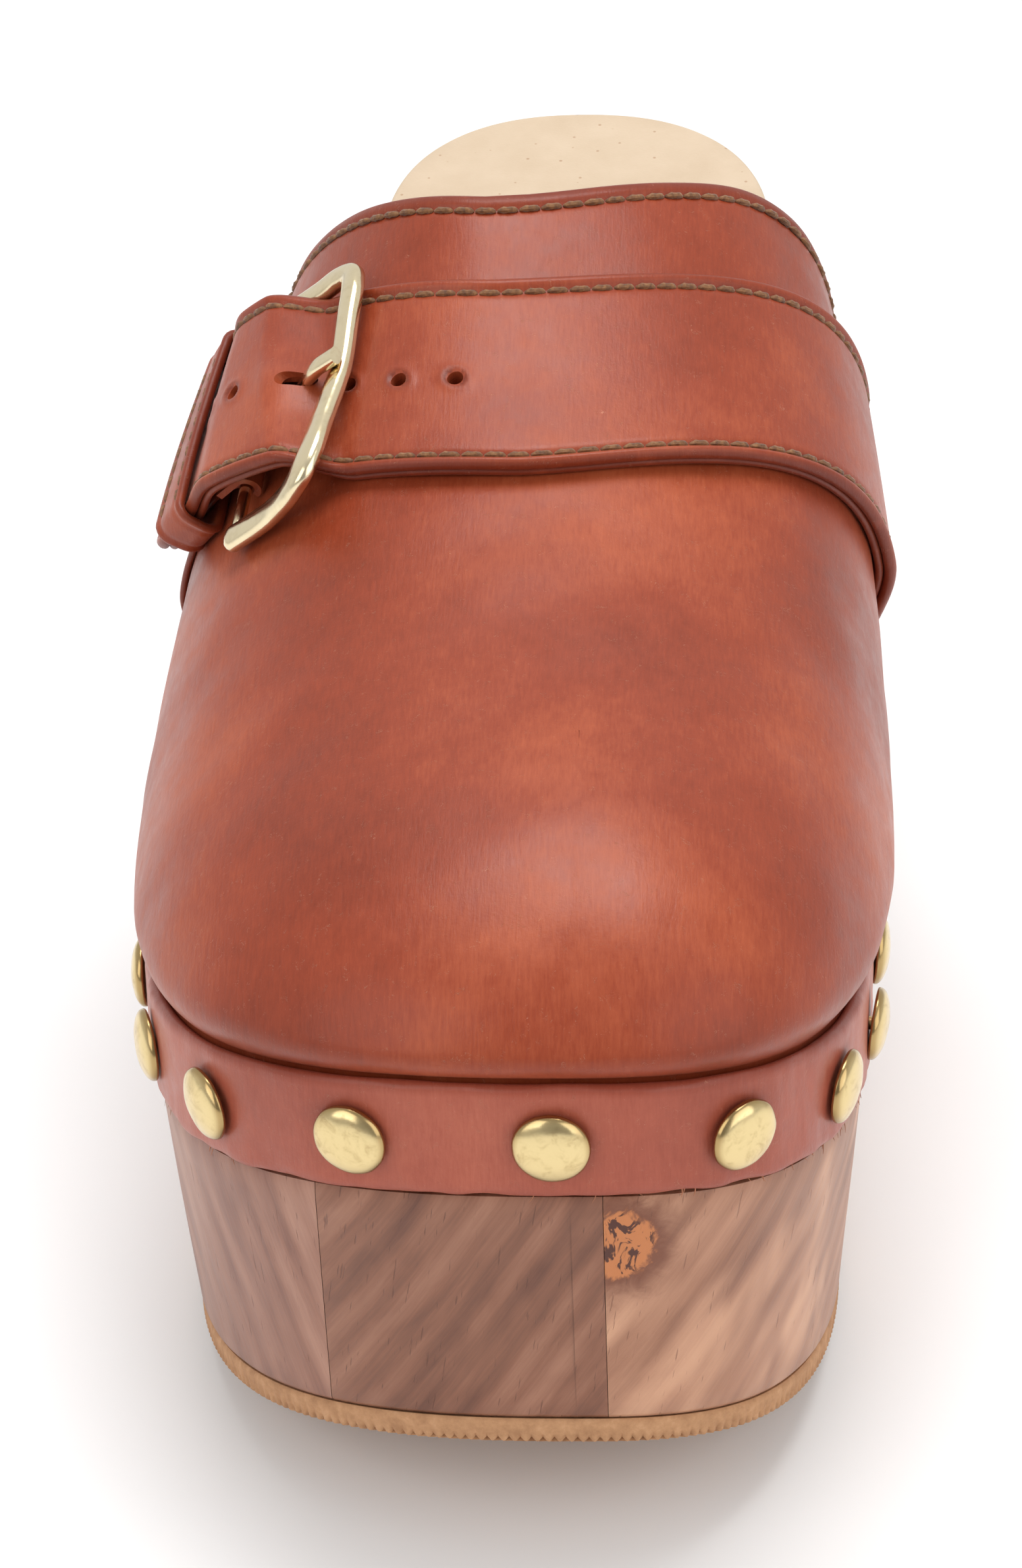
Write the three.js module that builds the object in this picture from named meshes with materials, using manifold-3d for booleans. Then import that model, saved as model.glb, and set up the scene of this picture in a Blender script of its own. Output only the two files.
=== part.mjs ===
// A right-foot wooden platform clog: glued wooden sole, rubber treads, nailed leather upper and a belt
// with a buckle on the outer side. Millimetres, +Z up, toe towards -Y, inner side of the foot at +X.
// Working frame: x = 0 on the sole's middle line, y = 0 at the toe tip, z = 0 on the ground.
import * as THREE from "three";
import Module from "manifold-3d";

const wasm = await Module();
wasm.setup();

// ---- Driving dimensions ----
const OUTER = -1; // side of the little toe
const INNER = 1; // side of the big toe
const SIDES = [OUTER, INNER];
const GAP = 0.3; // clearance between touching pieces
const WELD = 10000; // points closer than a ten-thousandth are one

const TOE_TIP_X = 8; // the toe tip lies nearer to the inner side
const BALL_WIDTH = { [OUTER]: 59.4, [INNER]: 38.5 }; // from the toe tip's line to each side
const BALL_DEPTH = { [OUTER]: 86.4, [INNER]: 77.6 }; // toe tip to the widest place
const TOE_POWER = 2.64;
const WAIST_POWER = 1.3;
const HEEL_START = 212.5;
const HEEL_DEPTH = 35.5;
const HEEL_HALF_WIDTH = 31.7;
const HEEL_X = 4;
const HEEL_POWER = 2.3;

const TREAD = 4; // rubber thickness
const SPRING_RISE = 20.9; // toe spring of a rigid sole
const SPRING_START = 78;
const SPRING_POWER = 1.62;
const BALL_EDGE = 58.8; // height of the footbed's edge at the ball
const SHANK_START = 86;
const SHANK_END = 207;
const SEAT_EDGE = 95.8;
const SEAT_SLOPE = 0.145;
const WALL_TAPER = 3; // the wood's foot is this much inside its top
const ARCH = { start: 117, breast: 184, top: 37, crest: 166 };
const HEEL_TAPER = 2.6;
const STAVE_SEAMS = [-24, 12];

const RAND_BAND = 16.7;
const RAND_OUT = 0.8;
const RAND_IN = -0.9;
const RABBET = 3.4;
const WOOD_TOP = 2.7; // below the footbed's edge
const UPPER_END = 1.64; // where the upper ends, on the outline's own scale
const NAIL_PITCH = { [OUTER]: 24.7, [INNER]: 23.6 };
const NAILS_A_SIDE = 6;
const NAIL_SHIFT = 2; // the toe's nail sits this far towards the outer side
const NAIL_HEAD_R = 4.9;
const NAIL_HEAD_H = 2.2;
const NAIL_SHANK_R = 0.9;
const NAIL_LENGTH = 11;

const SOCK = 1.9; // insole leather
const VAMP_LEATHER = 1.6;
const VAMP_LINING = 0.8;
const TOE_PUFF = 1;
const PUFF_REACH = 0.42; // how far back the toe stiffener goes, along the ribs
const CREASE_TUCK = -1.2; // the vamp's outer face where it leaves the rand
const VAMP_SWELL = { toe: 4.2, [OUTER]: 4, [INNER]: 5.6 };
const SWELL_ANGLE = 0.24;
const RIDGE = { start: 42, end: 136.5, low: 104, rise: 30.9, power: 1.8, fromX: 9, toX: -6 };
const RIB_SPREAD = 1.52;
const RIB_SQUARING = 0.8; // how much the ribs meet the ridge square on, near the throat
const RIB_POWER = { toe: 1.84, [OUTER]: 2.2, [INNER]: 3.3 };

const BELT_RIB = 0.776; // the rib that the belt's middle crosses the ridge on
const BELT_SWEEP = { [OUTER]: 0.09, [INNER]: 0.08 }; // the belt runs back as it goes down
const BELT_HALF = 17;
const BELT_TOP = 1.4;
const BELT_LINING = 1.2;
const FRONT_BAR_U = -21.5; // places along the belt, from the ridge towards the outer side
const PIN_U = -38;
const KEEPER = { from: -56, to: -48, leather: 1.3 };
const TIP_U = -67;
const BELT_LOW_U = 4.5; // belt ends above the rand
const BELT_RISE = 6.1; // how far the belt is lifted where it runs over the pin
const HOLES = [-45.2, -38.4, -21.5, -14, -6.2];
const PRONG_SLOT = { from: 6.4, to: 12.4, half: 1.5, liningFrom: 0.5 }; // from the pin, forwards
const HOLE_R = 1.1;
const WIRE_R = 1.55;
const PIN_R = 0.9;
const PIN_W = 2.95; // the pin's height over the upper
const BUCKLE_TURN = 0.17; // how far the buckle is turned on the belt, heel side towards the outside
const BUCKLE_SLIP = -2; // and how far it has slipped towards the toe
const EYE_R = 2.1;
const FRAME_HALF = 19;
const PRONG_R = 0.85;

// ---- Small helpers ----
const { lerp, clamp } = THREE.MathUtils;
const ease = (t) => THREE.MathUtils.smoothstep(t, 0, 1);
const steps = (count, from = 0, to = 1) =>
  Array.from({ length: count + 1 }, (_, i) => lerp(from, to, i / count));

// Joins points that lie in the same place: the points left, and each old point's new number.
function weld(points) {
  const seen = new Map();
  const kept = [];
  const index = points.map((p) => {
    const key = [p.x, p.y, p.z].map((value) => Math.round(value * WELD)).join();
    if (!seen.has(key)) {
      seen.set(key, kept.length);
      kept.push(p);
    }
    return seen.get(key);
  });
  return { kept, index };
}

const whole = ([a, b, c]) => a !== b && b !== c && c !== a;
const numbers = (points) => points.flatMap((p) => [p.x, p.y, p.z]);

// A closed body from points and triangles: joins equal points, drops flat triangles, faces out.
function body(points, triangles) {
  const { kept, index } = weld(points);
  const faces = triangles.map((t) => t.map((i) => index[i])).filter(whole);
  const volume = faces.reduce((sum, [a, b, c]) => {
    return sum + kept[a].dot(new THREE.Vector3().crossVectors(kept[b], kept[c]));
  }, 0);
  const geometry = new THREE.BufferGeometry();
  geometry.setAttribute("position", new THREE.Float32BufferAttribute(numbers(kept), 3));
  geometry.setIndex(faces.flatMap(([a, b, c]) => (volume < 0 ? [a, c, b] : [a, b, c])));
  return geometry;
}

// The two triangles of a four-cornered face.
const quad = (a, b, c, d) => [
  [a, b, c],
  [a, c, d],
];

function toSolid(geometry) {
  const position = geometry.getAttribute("position");
  const points = Array.from({ length: position.count }, (_, i) =>
    new THREE.Vector3().fromBufferAttribute(position, i),
  );
  const { kept, index } = weld(points);
  const order = geometry.index ? Array.from(geometry.index.array) : index.map((_, i) => i);
  const triangles = [];
  for (let i = 0; i < order.length; i += 3) {
    triangles.push(order.slice(i, i + 3).map((corner) => index[corner]));
  }
  const mesh = new wasm.Mesh({
    numProp: 3,
    vertProperties: new Float32Array(numbers(kept)),
    triVerts: new Uint32Array(triangles.filter(whole).flat()),
  });
  return new wasm.Manifold(mesh);
}

function fromSolid(solid) {
  const { vertProperties, triVerts } = solid.getMesh();
  const geometry = new THREE.BufferGeometry();
  geometry.setAttribute("position", new THREE.BufferAttribute(vertProperties, 3));
  geometry.setIndex(new THREE.BufferAttribute(triVerts, 1));
  return geometry;
}

const cut = (geometry, cutters) =>
  fromSolid(cutters.reduce((rest, cutter) => rest.subtract(toSolid(cutter)), toSolid(geometry)));

const join = (...parts) =>
  fromSolid(parts.slice(1).reduce((sum, part) => sum.add(toSolid(part)), toSolid(parts[0])));

const keepInside = (geometry, box) => fromSolid(toSolid(geometry).intersect(toSolid(box)));

function boxBetween(low, high) {
  const size = high.map((value, i) => value - low[i]);
  const middle = high.map((value, i) => (value + low[i]) / 2);
  return new THREE.BoxGeometry(...size).translate(...middle);
}

// ---- The sole's outline: t runs 0..1 over the toe, 1..2 over the waist and 2..3 round the heel ----
function outlinePoint(side, t) {
  const ballX = TOE_TIP_X + side * BALL_WIDTH[side];
  const heelX = HEEL_X + side * HEEL_HALF_WIDTH;
  if (t <= 1) {
    const angle = (t * Math.PI) / 2;
    const out = Math.sin(angle) ** (2 / TOE_POWER);
    const back = 1 - Math.max(0, Math.cos(angle)) ** (2 / TOE_POWER);
    return new THREE.Vector2(TOE_TIP_X + side * BALL_WIDTH[side] * out, BALL_DEPTH[side] * back);
  }
  if (t <= 2) {
    const along = t - 1;
    const x = lerp(ballX, heelX, ease(along ** WAIST_POWER));
    return new THREE.Vector2(x, lerp(BALL_DEPTH[side], HEEL_START, along));
  }
  const angle = ((t - 2) * Math.PI) / 2;
  const out = Math.max(0, Math.cos(angle)) ** (2 / HEEL_POWER);
  const back = Math.sin(angle) ** (2 / HEEL_POWER);
  return new THREE.Vector2(HEEL_X + side * HEEL_HALF_WIDTH * out, HEEL_START + HEEL_DEPTH * back);
}

function outlineNormal(side, t) {
  if (t < 1e-6) return new THREE.Vector2(0, -1);
  if (t > 3 - 1e-6) return new THREE.Vector2(0, 1);
  const reach = 0.004;
  const ahead = outlinePoint(side, Math.min(3, t + reach));
  const along = ahead.sub(outlinePoint(side, Math.max(0, t - reach)));
  return new THREE.Vector2(side * along.y, -side * along.x).normalize();
}

const springHeight = (y) =>
  SPRING_RISE * (clamp((SPRING_START - y) / SPRING_START, 0, 1.2)) ** SPRING_POWER;

// Height of the footbed's edge, which is also the rand's upper edge.
function edgeHeight(y) {
  if (y < SHANK_START) return BALL_EDGE + springHeight(y);
  if (y > SHANK_END) return SEAT_EDGE + (y - SHANK_END) * SEAT_SLOPE;
  const length = SHANK_END - SHANK_START;
  const t = (y - SHANK_START) / length;
  return BALL_EDGE + (SEAT_EDGE - BALL_EDGE) * ease(t) + (t ** 3 - t ** 2) * length * SEAT_SLOPE;
}

const TOE_STATIONS = 13;
const WAIST_STATIONS = 7;
const HEEL_STATIONS = 7;
const RABBET_END = [UPPER_END + 0.01, UPPER_END + 0.03];
const STATIONS = [
  ...steps(TOE_STATIONS, 0, 1),
  ...[...steps(WAIST_STATIONS, 1, 2).slice(1), ...RABBET_END].sort((a, b) => a - b),
  ...steps(HEEL_STATIONS, 2, 3).slice(1),
];

// A solid through stacked rings of the outline. A level gives each ring's inset and height.
function stackRings(levels) {
  const points = [];
  const triangles = [];
  const last = STATIONS.length - 1;
  const ringSize = 2 * STATIONS.length;
  for (const level of levels) {
    for (const side of SIDES) {
      for (const t of STATIONS) {
        const edge = outlinePoint(side, t);
        const { out, z } = level(edge.y, t);
        edge.addScaledVector(outlineNormal(side, t), out);
        points.push(new THREE.Vector3(edge.x, edge.y, z));
      }
    }
  }
  const at = (level, side, i) => level * ringSize + (side === OUTER ? 0 : STATIONS.length) + i;
  for (let i = 0; i < last; i += 1) {
    const top = levels.length - 1;
    triangles.push(...quad(at(0, OUTER, i), at(0, OUTER, i + 1), at(0, INNER, i + 1), at(0, INNER, i)));
    triangles.push(...quad(at(top, OUTER, i), at(top, INNER, i), at(top, INNER, i + 1), at(top, OUTER, i + 1)));
    for (let k = 0; k < top; k += 1) {
      triangles.push(...quad(at(k, OUTER, i), at(k + 1, OUTER, i), at(k + 1, OUTER, i + 1), at(k, OUTER, i + 1)));
      triangles.push(...quad(at(k, INNER, i + 1), at(k + 1, INNER, i + 1), at(k + 1, INNER, i), at(k, INNER, i)));
    }
  }
  return body(points, triangles);
}

// ---- The wooden sole, its treads and the insole ----
const rabbetAt = (t) => -RABBET * (1 - ease((t - RABBET_END[0]) / (RABBET_END[1] - RABBET_END[0])));
const taperAt = (y) => -WALL_TAPER - HEEL_TAPER * ease((y - ARCH.breast) / (HEEL_START - ARCH.breast));
const stepHeight = (y) => edgeHeight(y) - RAND_BAND - 2 * GAP;

function platform() {
  const block = stackRings([
    (y) => ({ out: taperAt(y), z: TREAD + springHeight(y) }),
    (y) => ({ out: 0, z: stepHeight(y) }),
    (y, t) => ({ out: rabbetAt(t), z: stepHeight(y) }),
    (y, t) => ({ out: rabbetAt(t), z: edgeHeight(y) - WOOD_TOP }),
  ]);
  const arch = new THREE.Shape();
  arch.moveTo(ARCH.start, -TREAD);
  arch.lineTo(ARCH.start, TREAD);
  arch.bezierCurveTo(ARCH.start + 20, TREAD + 1, ARCH.crest - 20, ARCH.top - 3, ARCH.crest, ARCH.top);
  arch.bezierCurveTo(ARCH.crest + 10, ARCH.top + 1, ARCH.breast - 3, ARCH.top - 8, ARCH.breast, TREAD);
  arch.lineTo(ARCH.breast, -TREAD);
  const span = 140;
  const cutter = new THREE.ExtrudeGeometry(arch, { depth: span, bevelEnabled: false, curveSegments: 8 });
  // The profile's x is the sole's y and its y is the height.
  cutter.applyMatrix4(new THREE.Matrix4().set(0, 0, 1, -span / 2, 1, 0, 0, 0, 0, 1, 0, 0, 0, 0, 0, 1));
  return cut(block, [cutter]);
}

const FAR = 400;
function staves() {
  const [outerSeam, innerSeam] = STAVE_SEAMS;
  const half = GAP / 2;
  const block = platform();
  const slice = (from, to) => keepInside(block, boxBetween([from, -FAR, -FAR], [to, FAR, FAR]));
  return {
    sole_stave_outer: slice(-FAR, outerSeam - half),
    sole_stave_middle: slice(outerSeam + half, innerSeam - half),
    sole_stave_inner: slice(innerSeam + half, FAR),
  };
}

const treadSlab = () =>
  stackRings([
    (y) => ({ out: taperAt(y), z: springHeight(y) }),
    (y) => ({ out: taperAt(y), z: springHeight(y) + TREAD - GAP }),
  ]);

const forefootTread = () => keepInside(treadSlab(), boxBetween([-FAR, -FAR, -FAR], [FAR, ARCH.start - 1, FAR]));

const heelTread = () => keepInside(treadSlab(), boxBetween([-FAR, ARCH.breast + 0.5, -FAR], [FAR, FAR, FAR]));

function insole() {
  const inset = (t) => -lerp(5.3, 0.6, ease((t - UPPER_END - 0.03) / 0.14));
  const under = WOOD_TOP - 2 * GAP;
  return stackRings([
    (y, t) => ({ out: inset(t), z: edgeHeight(y) - under }),
    (y, t) => ({ out: inset(t), z: edgeHeight(y) - under + SOCK }),
  ]);
}

// ---- Places along the nailed edge, measured from the toe tip ----
const edgeTable = Object.fromEntries(
  SIDES.map((side) => {
    const entries = [{ t: 0, length: 0 }];
    let before = outlinePoint(side, 0);
    for (const t of steps(600, 0, 2).slice(1)) {
      const here = outlinePoint(side, t);
      entries.push({ t, length: entries.at(-1).length + here.distanceTo(before), y: here.y });
      before = here;
    }
    return [side, entries];
  }),
);

function tAtLength(side, length) {
  const entries = edgeTable[side];
  const after = entries.findIndex((entry) => entry.length >= length);
  if (after <= 0) return 0;
  const low = entries[after - 1];
  const high = entries[after];
  return lerp(low.t, high.t, (length - low.length) / (high.length - low.length));
}

const upperLength = Object.fromEntries(
  SIDES.map((side) => [side, edgeTable[side].find((entry) => entry.t >= UPPER_END).length]),
);

// ---- The upper: ribs that rise from the nailed edge to the ridge over the foot ----
// rib runs from 0 at the toe tip to 1 at the throat; angle from 0 at the edge to 90 degrees on the ridge.
function upperPoint(side, rib, angle) {
  const t = tAtLength(side, rib * upperLength[side]);
  const edge = outlinePoint(side, t);
  const normal = outlineNormal(side, t);
  const footZ = edgeHeight(edge.y);
  const ridgeY = lerp(RIDGE.start, RIDGE.end, rib ** RIB_SPREAD);
  const along = (ridgeY - RIDGE.start) / (RIDGE.end - RIDGE.start);
  const ridgeZ = RIDGE.low + RIDGE.rise * along ** RIDGE.power;
  const ridgeX = lerp(RIDGE.fromX, RIDGE.toX, rib);
  const power = lerp(RIB_POWER.toe, RIB_POWER[side], rib);
  const inward = 1 - Math.max(0, Math.cos(angle)) ** (2 / power);
  const upward = Math.sin(angle) ** (2 / power);
  const backward = 1 - (1 - inward) ** (1 + RIB_SQUARING * ease(rib));
  const fullness = lerp(VAMP_SWELL.toe, VAMP_SWELL[side], ease(rib / 0.45));
  const swell = CREASE_TUCK + fullness * Math.sin((clamp(angle / SWELL_ANGLE, 0, 1) * Math.PI) / 2);
  const out = swell * (1 - inward);
  return new THREE.Vector3(
    lerp(edge.x, ridgeX, inward) + normal.x * out,
    lerp(edge.y, ridgeY, backward) + normal.y * out,
    lerp(footZ, ridgeZ, upward),
  );
}

const RIBS = 18;
const RIB_ANGLES = [0, 0.06, 0.13, 0.24, 0.42, 0.64, 0.88, 1.12, 1.35, Math.PI / 2];

// An open sheet of arches from the outer edge over the ridge to the inner edge.
function archSheet({ reach, margin }) {
  const rows = steps(Math.round(RIBS * reach), 0, reach).map((rib) => {
    const half = (side) => {
      const foot = upperPoint(side, rib, 0);
      const lower = margin ? [foot.clone().setZ(foot.z - margin)] : [];
      return [...lower, ...RIB_ANGLES.map((angle) => upperPoint(side, rib, angle))];
    };
    return [...half(OUTER), ...half(INNER).reverse().slice(1)];
  });
  return rows;
}

// The solid between two offsets of an open sheet; the offsets may change with the row and the place.
function shell(rows, offsets) {
  const [near, far] = offsets;
  const width = rows[0].length;
  const sheet = new THREE.BufferGeometry();
  const { kept: unique, index } = weld(rows.flat());
  const faces = [];
  for (let r = 0; r < rows.length - 1; r += 1) {
    for (let c = 0; c < width - 1; c += 1) {
      const at = r * width + c;
      faces.push(...quad(index[at], index[at + 1], index[at + width + 1], index[at + width]));
    }
  }
  const solidFaces = faces.filter(whole);
  sheet.setAttribute("position", new THREE.Float32BufferAttribute(numbers(unique), 3));
  sheet.setIndex(solidFaces.flat());
  sheet.computeVertexNormals();
  const normals = sheet.getAttribute("normal");
  const rowOf = new Map(index.map((corner, i) => [corner, Math.floor(i / width)]));
  const moved = (offset) =>
    unique.map((p, i) => {
      const normal = new THREE.Vector3().fromBufferAttribute(normals, i);
      return p.clone().addScaledVector(normal, offset(rowOf.get(i) / (rows.length - 1)));
    });
  const count = unique.length;
  const triangles = [
    ...solidFaces,
    ...solidFaces.map(([a, b, c]) => [count + a, count + c, count + b]),
  ];
  const edges = new Map();
  for (const [a, b, c] of solidFaces) {
    for (const [from, to] of [[a, b], [b, c], [c, a]]) {
      if (!edges.delete(`${to}-${from}`)) edges.set(`${from}-${to}`, [from, to]);
    }
  }
  for (const [from, to] of edges.values()) {
    triangles.push(...quad(to, from, count + from, count + to));
  }
  return body([...moved(near), ...moved(far)], triangles);
}

// The arches run from the outer side over the top, row by row towards the back: their normals face out.
function vamp() {
  const rows = archSheet({ reach: 1, margin: RAND_BAND - GAP });
  return shell(rows, [() => 0, () => -VAMP_LEATHER]);
}

const puffRoom = (TOE_PUFF + GAP);
const liningOffset = (row) => -VAMP_LEATHER - GAP - puffRoom * (1 - ease((row - PUFF_REACH - 0.04) / 0.1));

function vampLining() {
  const rows = archSheet({ reach: 1 });
  return shell(rows, [liningOffset, (row) => liningOffset(row) - VAMP_LINING]);
}

function toePuff() {
  const rows = archSheet({ reach: PUFF_REACH });
  const near = -VAMP_LEATHER - GAP;
  return shell(rows, [() => near, () => near - TOE_PUFF]);
}

// ---- The rand: a leather strip round the toe, nailed over the vamp's lower edge ----
const randSection = [
  { out: RAND_IN, down: RAND_BAND },
  { out: RAND_OUT, down: RAND_BAND },
  { out: RAND_OUT, down: RAND_BAND / 2 },
  { out: RAND_OUT, down: 0.3 },
  { out: RAND_OUT - 0.4, down: 0 },
  { out: RAND_IN, down: 0 },
];

function rand() {
  const reach = 20;
  const places = [
    ...steps(reach, -1, 0).map((share) => [OUTER, -share]),
    ...steps(reach, 0, 1).slice(1).map((share) => [INNER, share]),
  ];
  const points = [];
  for (const [side, share] of places) {
    const t = tAtLength(side, share * upperLength[side]);
    const edge = outlinePoint(side, t);
    const normal = outlineNormal(side, t);
    for (const { out, down } of randSection) {
      const spot = edge.clone().addScaledVector(normal, out);
      points.push(new THREE.Vector3(spot.x, spot.y, edgeHeight(edge.y) - down));
    }
  }
  const size = randSection.length;
  const triangles = [];
  for (let i = 0; i < places.length - 1; i += 1) {
    for (let k = 0; k < size; k += 1) {
      const next = (k + 1) % size;
      triangles.push(...quad(i * size + k, i * size + next, (i + 1) * size + next, (i + 1) * size + k));
    }
  }
  const end = (places.length - 1) * size;
  for (let k = 1; k < size - 1; k += 1) {
    triangles.push([0, k + 1, k], [end, end + k, end + k + 1]);
  }
  return body(points, triangles);
}

// ---- Dome-headed nails ----
const nailPlaces = [
  ...steps(NAILS_A_SIDE, NAILS_A_SIDE, 0).map((count) => [OUTER, count * NAIL_PITCH[OUTER] + NAIL_SHIFT]),
  ...steps(NAILS_A_SIDE - 1, 1, NAILS_A_SIDE).map((count) => [INNER, count * NAIL_PITCH[INNER] - NAIL_SHIFT]),
];

// Where a nail goes in and which way its head looks.
function nailMatrix(side, length) {
  const t = tAtLength(side, length);
  const edge = outlinePoint(side, t);
  const normal = outlineNormal(side, t);
  const outward = new THREE.Vector3(normal.x, normal.y, 0);
  const turn = new THREE.Quaternion().setFromUnitVectors(new THREE.Vector3(0, 1, 0), outward);
  const spot = new THREE.Vector3(edge.x, edge.y, edgeHeight(edge.y) - RAND_BAND / 2);
  spot.addScaledVector(outward, RAND_OUT + GAP);
  return new THREE.Matrix4().compose(spot, turn, new THREE.Vector3(1, 1, 1));
}

function nail() {
  const dome = steps(3, 0, 1).map((share) => {
    const angle = (share * Math.PI) / 2;
    return new THREE.Vector2(NAIL_HEAD_R * Math.cos(angle), 0.4 + (NAIL_HEAD_H - 0.4) * Math.sin(angle));
  });
  dome[dome.length - 1].x = 0;
  const profile = [
    new THREE.Vector2(0, -NAIL_LENGTH),
    new THREE.Vector2(NAIL_SHANK_R, 1.8 - NAIL_LENGTH),
    new THREE.Vector2(NAIL_SHANK_R, 0),
    new THREE.Vector2(NAIL_HEAD_R, 0),
    ...dome,
  ];
  return new THREE.LatheGeometry(profile, 10);
}

const nailHoles = nailPlaces.map(([side, length]) => {
  const hole = new THREE.CylinderGeometry(NAIL_SHANK_R + GAP, NAIL_SHANK_R + GAP, NAIL_LENGTH + 1.5, 6);
  return hole.translate(0, 0.5 - NAIL_LENGTH / 2, 0).applyMatrix4(nailMatrix(side, length));
});

// ---- The belt: u runs along it from the ridge (outer side below 0), v across it, w out of the upper ----
function ribPlace(turn) {
  const side = turn < 0 ? OUTER : INNER;
  return { side, angle: ((1 - Math.abs(turn)) * Math.PI) / 2 };
}

function beltMiddle(turn, ribShift = 0) {
  const { side, angle } = ribPlace(turn);
  return upperPoint(side, BELT_RIB + BELT_SWEEP[side] * Math.abs(turn) ** 1.5 + ribShift, angle);
}

const beltTable = (() => {
  const turns = steps(400, -1, 1);
  const lengths = [0];
  for (let i = 1; i < turns.length; i += 1) {
    lengths.push(lengths[i - 1] + beltMiddle(turns[i]).distanceTo(beltMiddle(turns[i - 1])));
  }
  const zero = lengths[turns.length >> 1];
  return turns.map((turn, i) => ({ turn, u: lengths[i] - zero }));
})();
const BELT_OUTER_U = beltTable[0].u;
const BELT_INNER_U = beltTable.at(-1).u;

function turnAt(u) {
  const after = Math.max(1, beltTable.findIndex((entry) => entry.u >= u));
  const low = beltTable[after - 1];
  const high = beltTable[after];
  return lerp(low.turn, high.turn, (u - low.u) / (high.u - low.u));
}

function surfaceAt(u, v) {
  const turn = turnAt(u);
  const probe = 0.01;
  const pace = beltMiddle(turn, probe).distanceTo(beltMiddle(turn, -probe)) / (2 * probe);
  return beltMiddle(turn, v / pace);
}

function onUpper(u, v, w) {
  const reach = 1.5;
  const spot = surfaceAt(u, v);
  const lowU = Math.max(BELT_OUTER_U + 0.1, u - reach);
  const highU = Math.min(BELT_INNER_U - 0.1, u + reach);
  const along = surfaceAt(highU, v).sub(surfaceAt(lowU, v));
  const across = surfaceAt(u, v + reach).sub(surfaceAt(u, v - reach));
  const normal = along.cross(across).normalize();
  return spot.addScaledVector(normal, w);
}

// A plate over the upper between the heights low(u) and high(u), half(u) wide to each side.
function plate({ places, half, low, high, columns = 4 }) {
  const points = [];
  for (const height of [low, high]) {
    for (const u of places) {
      for (const share of steps(columns, -1, 1)) points.push(onUpper(u, share * half(u), height(u)));
    }
  }
  const width = columns + 1;
  const layer = places.length * width;
  const triangles = [];
  for (let r = 0; r < places.length - 1; r += 1) {
    for (let c = 0; c < columns; c += 1) {
      const at = r * width + c;
      const [a, b, d, e] = [at, at + 1, at + width + 1, at + width];
      triangles.push(...quad(a, b, d, e));
      triangles.push(...quad(layer + e, layer + d, layer + b, layer + a));
    }
    const left = r * width;
    const right = left + columns;
    triangles.push(...quad(left + width, layer + left + width, layer + left, left));
    triangles.push(...quad(right, layer + right, layer + right + width, right + width));
  }
  for (let c = 0; c < columns; c += 1) {
    const back = (places.length - 1) * width + c;
    triangles.push(...quad(c, layer + c, layer + c + 1, c + 1));
    triangles.push(...quad(back + 1, layer + back + 1, layer + back, back));
  }
  return body(points, triangles);
}

// How far the belt stands off the upper: low over the instep, lifted over the pin and the keeper.
function beltLift(u) {
  const climb = ease((FRONT_BAR_U - 3.5 - u) / 7.5);
  const settle = 1 - 0.54 * ease((PIN_U - 3 - u) / 9);
  return GAP + BELT_RISE * climb * settle;
}

const tipHalf = (u) => {
  const round = clamp((TIP_U + 10 - u) / 10, 0, 0.97);
  return Math.sqrt(1 - round ** 2);
};

const beltPlaces = [
  ...steps(4, TIP_U, TIP_U + 10),
  ...steps(18, TIP_U + 10, 0).slice(1),
  ...steps(12, 0, BELT_INNER_U - BELT_LOW_U).slice(1),
];

// The buckle's frame at rest: X from the pin to the front bar, Y across towards the heel, Z out.
const BAR_W = beltLift(FRONT_BAR_U) + BELT_LINING + GAP + BELT_TOP + GAP + WIRE_R;
const barMiddle = onUpper(FRONT_BAR_U, 0, BAR_W);
const pinMiddle = onUpper(PIN_U, 0, PIN_W);
const BAR_REACH = barMiddle.distanceTo(pinMiddle);
const pinFrame = (() => {
  const along = barMiddle.clone().sub(pinMiddle).normalize();
  const across = onUpper(PIN_U, 12, PIN_W).sub(onUpper(PIN_U, -12, PIN_W)).normalize();
  across.add(onUpper(FRONT_BAR_U, 12, BAR_W).sub(onUpper(FRONT_BAR_U, -12, BAR_W)).normalize());
  const out = along.clone().cross(across).normalize();
  across.crossVectors(out, along);
  const turn = new THREE.Matrix4().makeRotationZ(BUCKLE_TURN).setPosition(0, BUCKLE_SLIP, 0);
  return new THREE.Matrix4().makeBasis(along, across, out).setPosition(pinMiddle).multiply(turn);
})();

// A hole through the belt, long in the belt's direction where from and to differ.
function punch(frame, from, to, radius) {
  const outline = new THREE.Shape();
  outline.absarc(to, 0, radius, -Math.PI / 2, Math.PI / 2);
  outline.absarc(from, 0, radius, Math.PI / 2, -Math.PI / 2);
  const cutter = new THREE.ExtrudeGeometry(outline, { depth: 18, bevelEnabled: false, curveSegments: 3 });
  return cutter.translate(0, 0, -3).applyMatrix4(frame);
}

const roundHoles = HOLES.map((u) => punch(beltFrame(u, beltLift(u) - 1), -0.01, 0.01, HOLE_R));
const prongSlot = (from) => {
  const { half, to } = PRONG_SLOT;
  return punch(pinFrame, from + half, to - half, half);
};

// The frame of a place on the belt: X towards the instep, Y across towards the heel, Z out.
function beltFrame(u, w) {
  const origin = onUpper(u, 0, w);
  const across = onUpper(u, 12, w).sub(onUpper(u, -12, w)).normalize();
  const ahead = onUpper(u + 4, 0, w).sub(onUpper(u - 4, 0, w));
  const out = ahead.clone().cross(across).normalize();
  const along = across.clone().cross(out).normalize();
  return new THREE.Matrix4().makeBasis(along, across, out).setPosition(origin);
}

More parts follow.
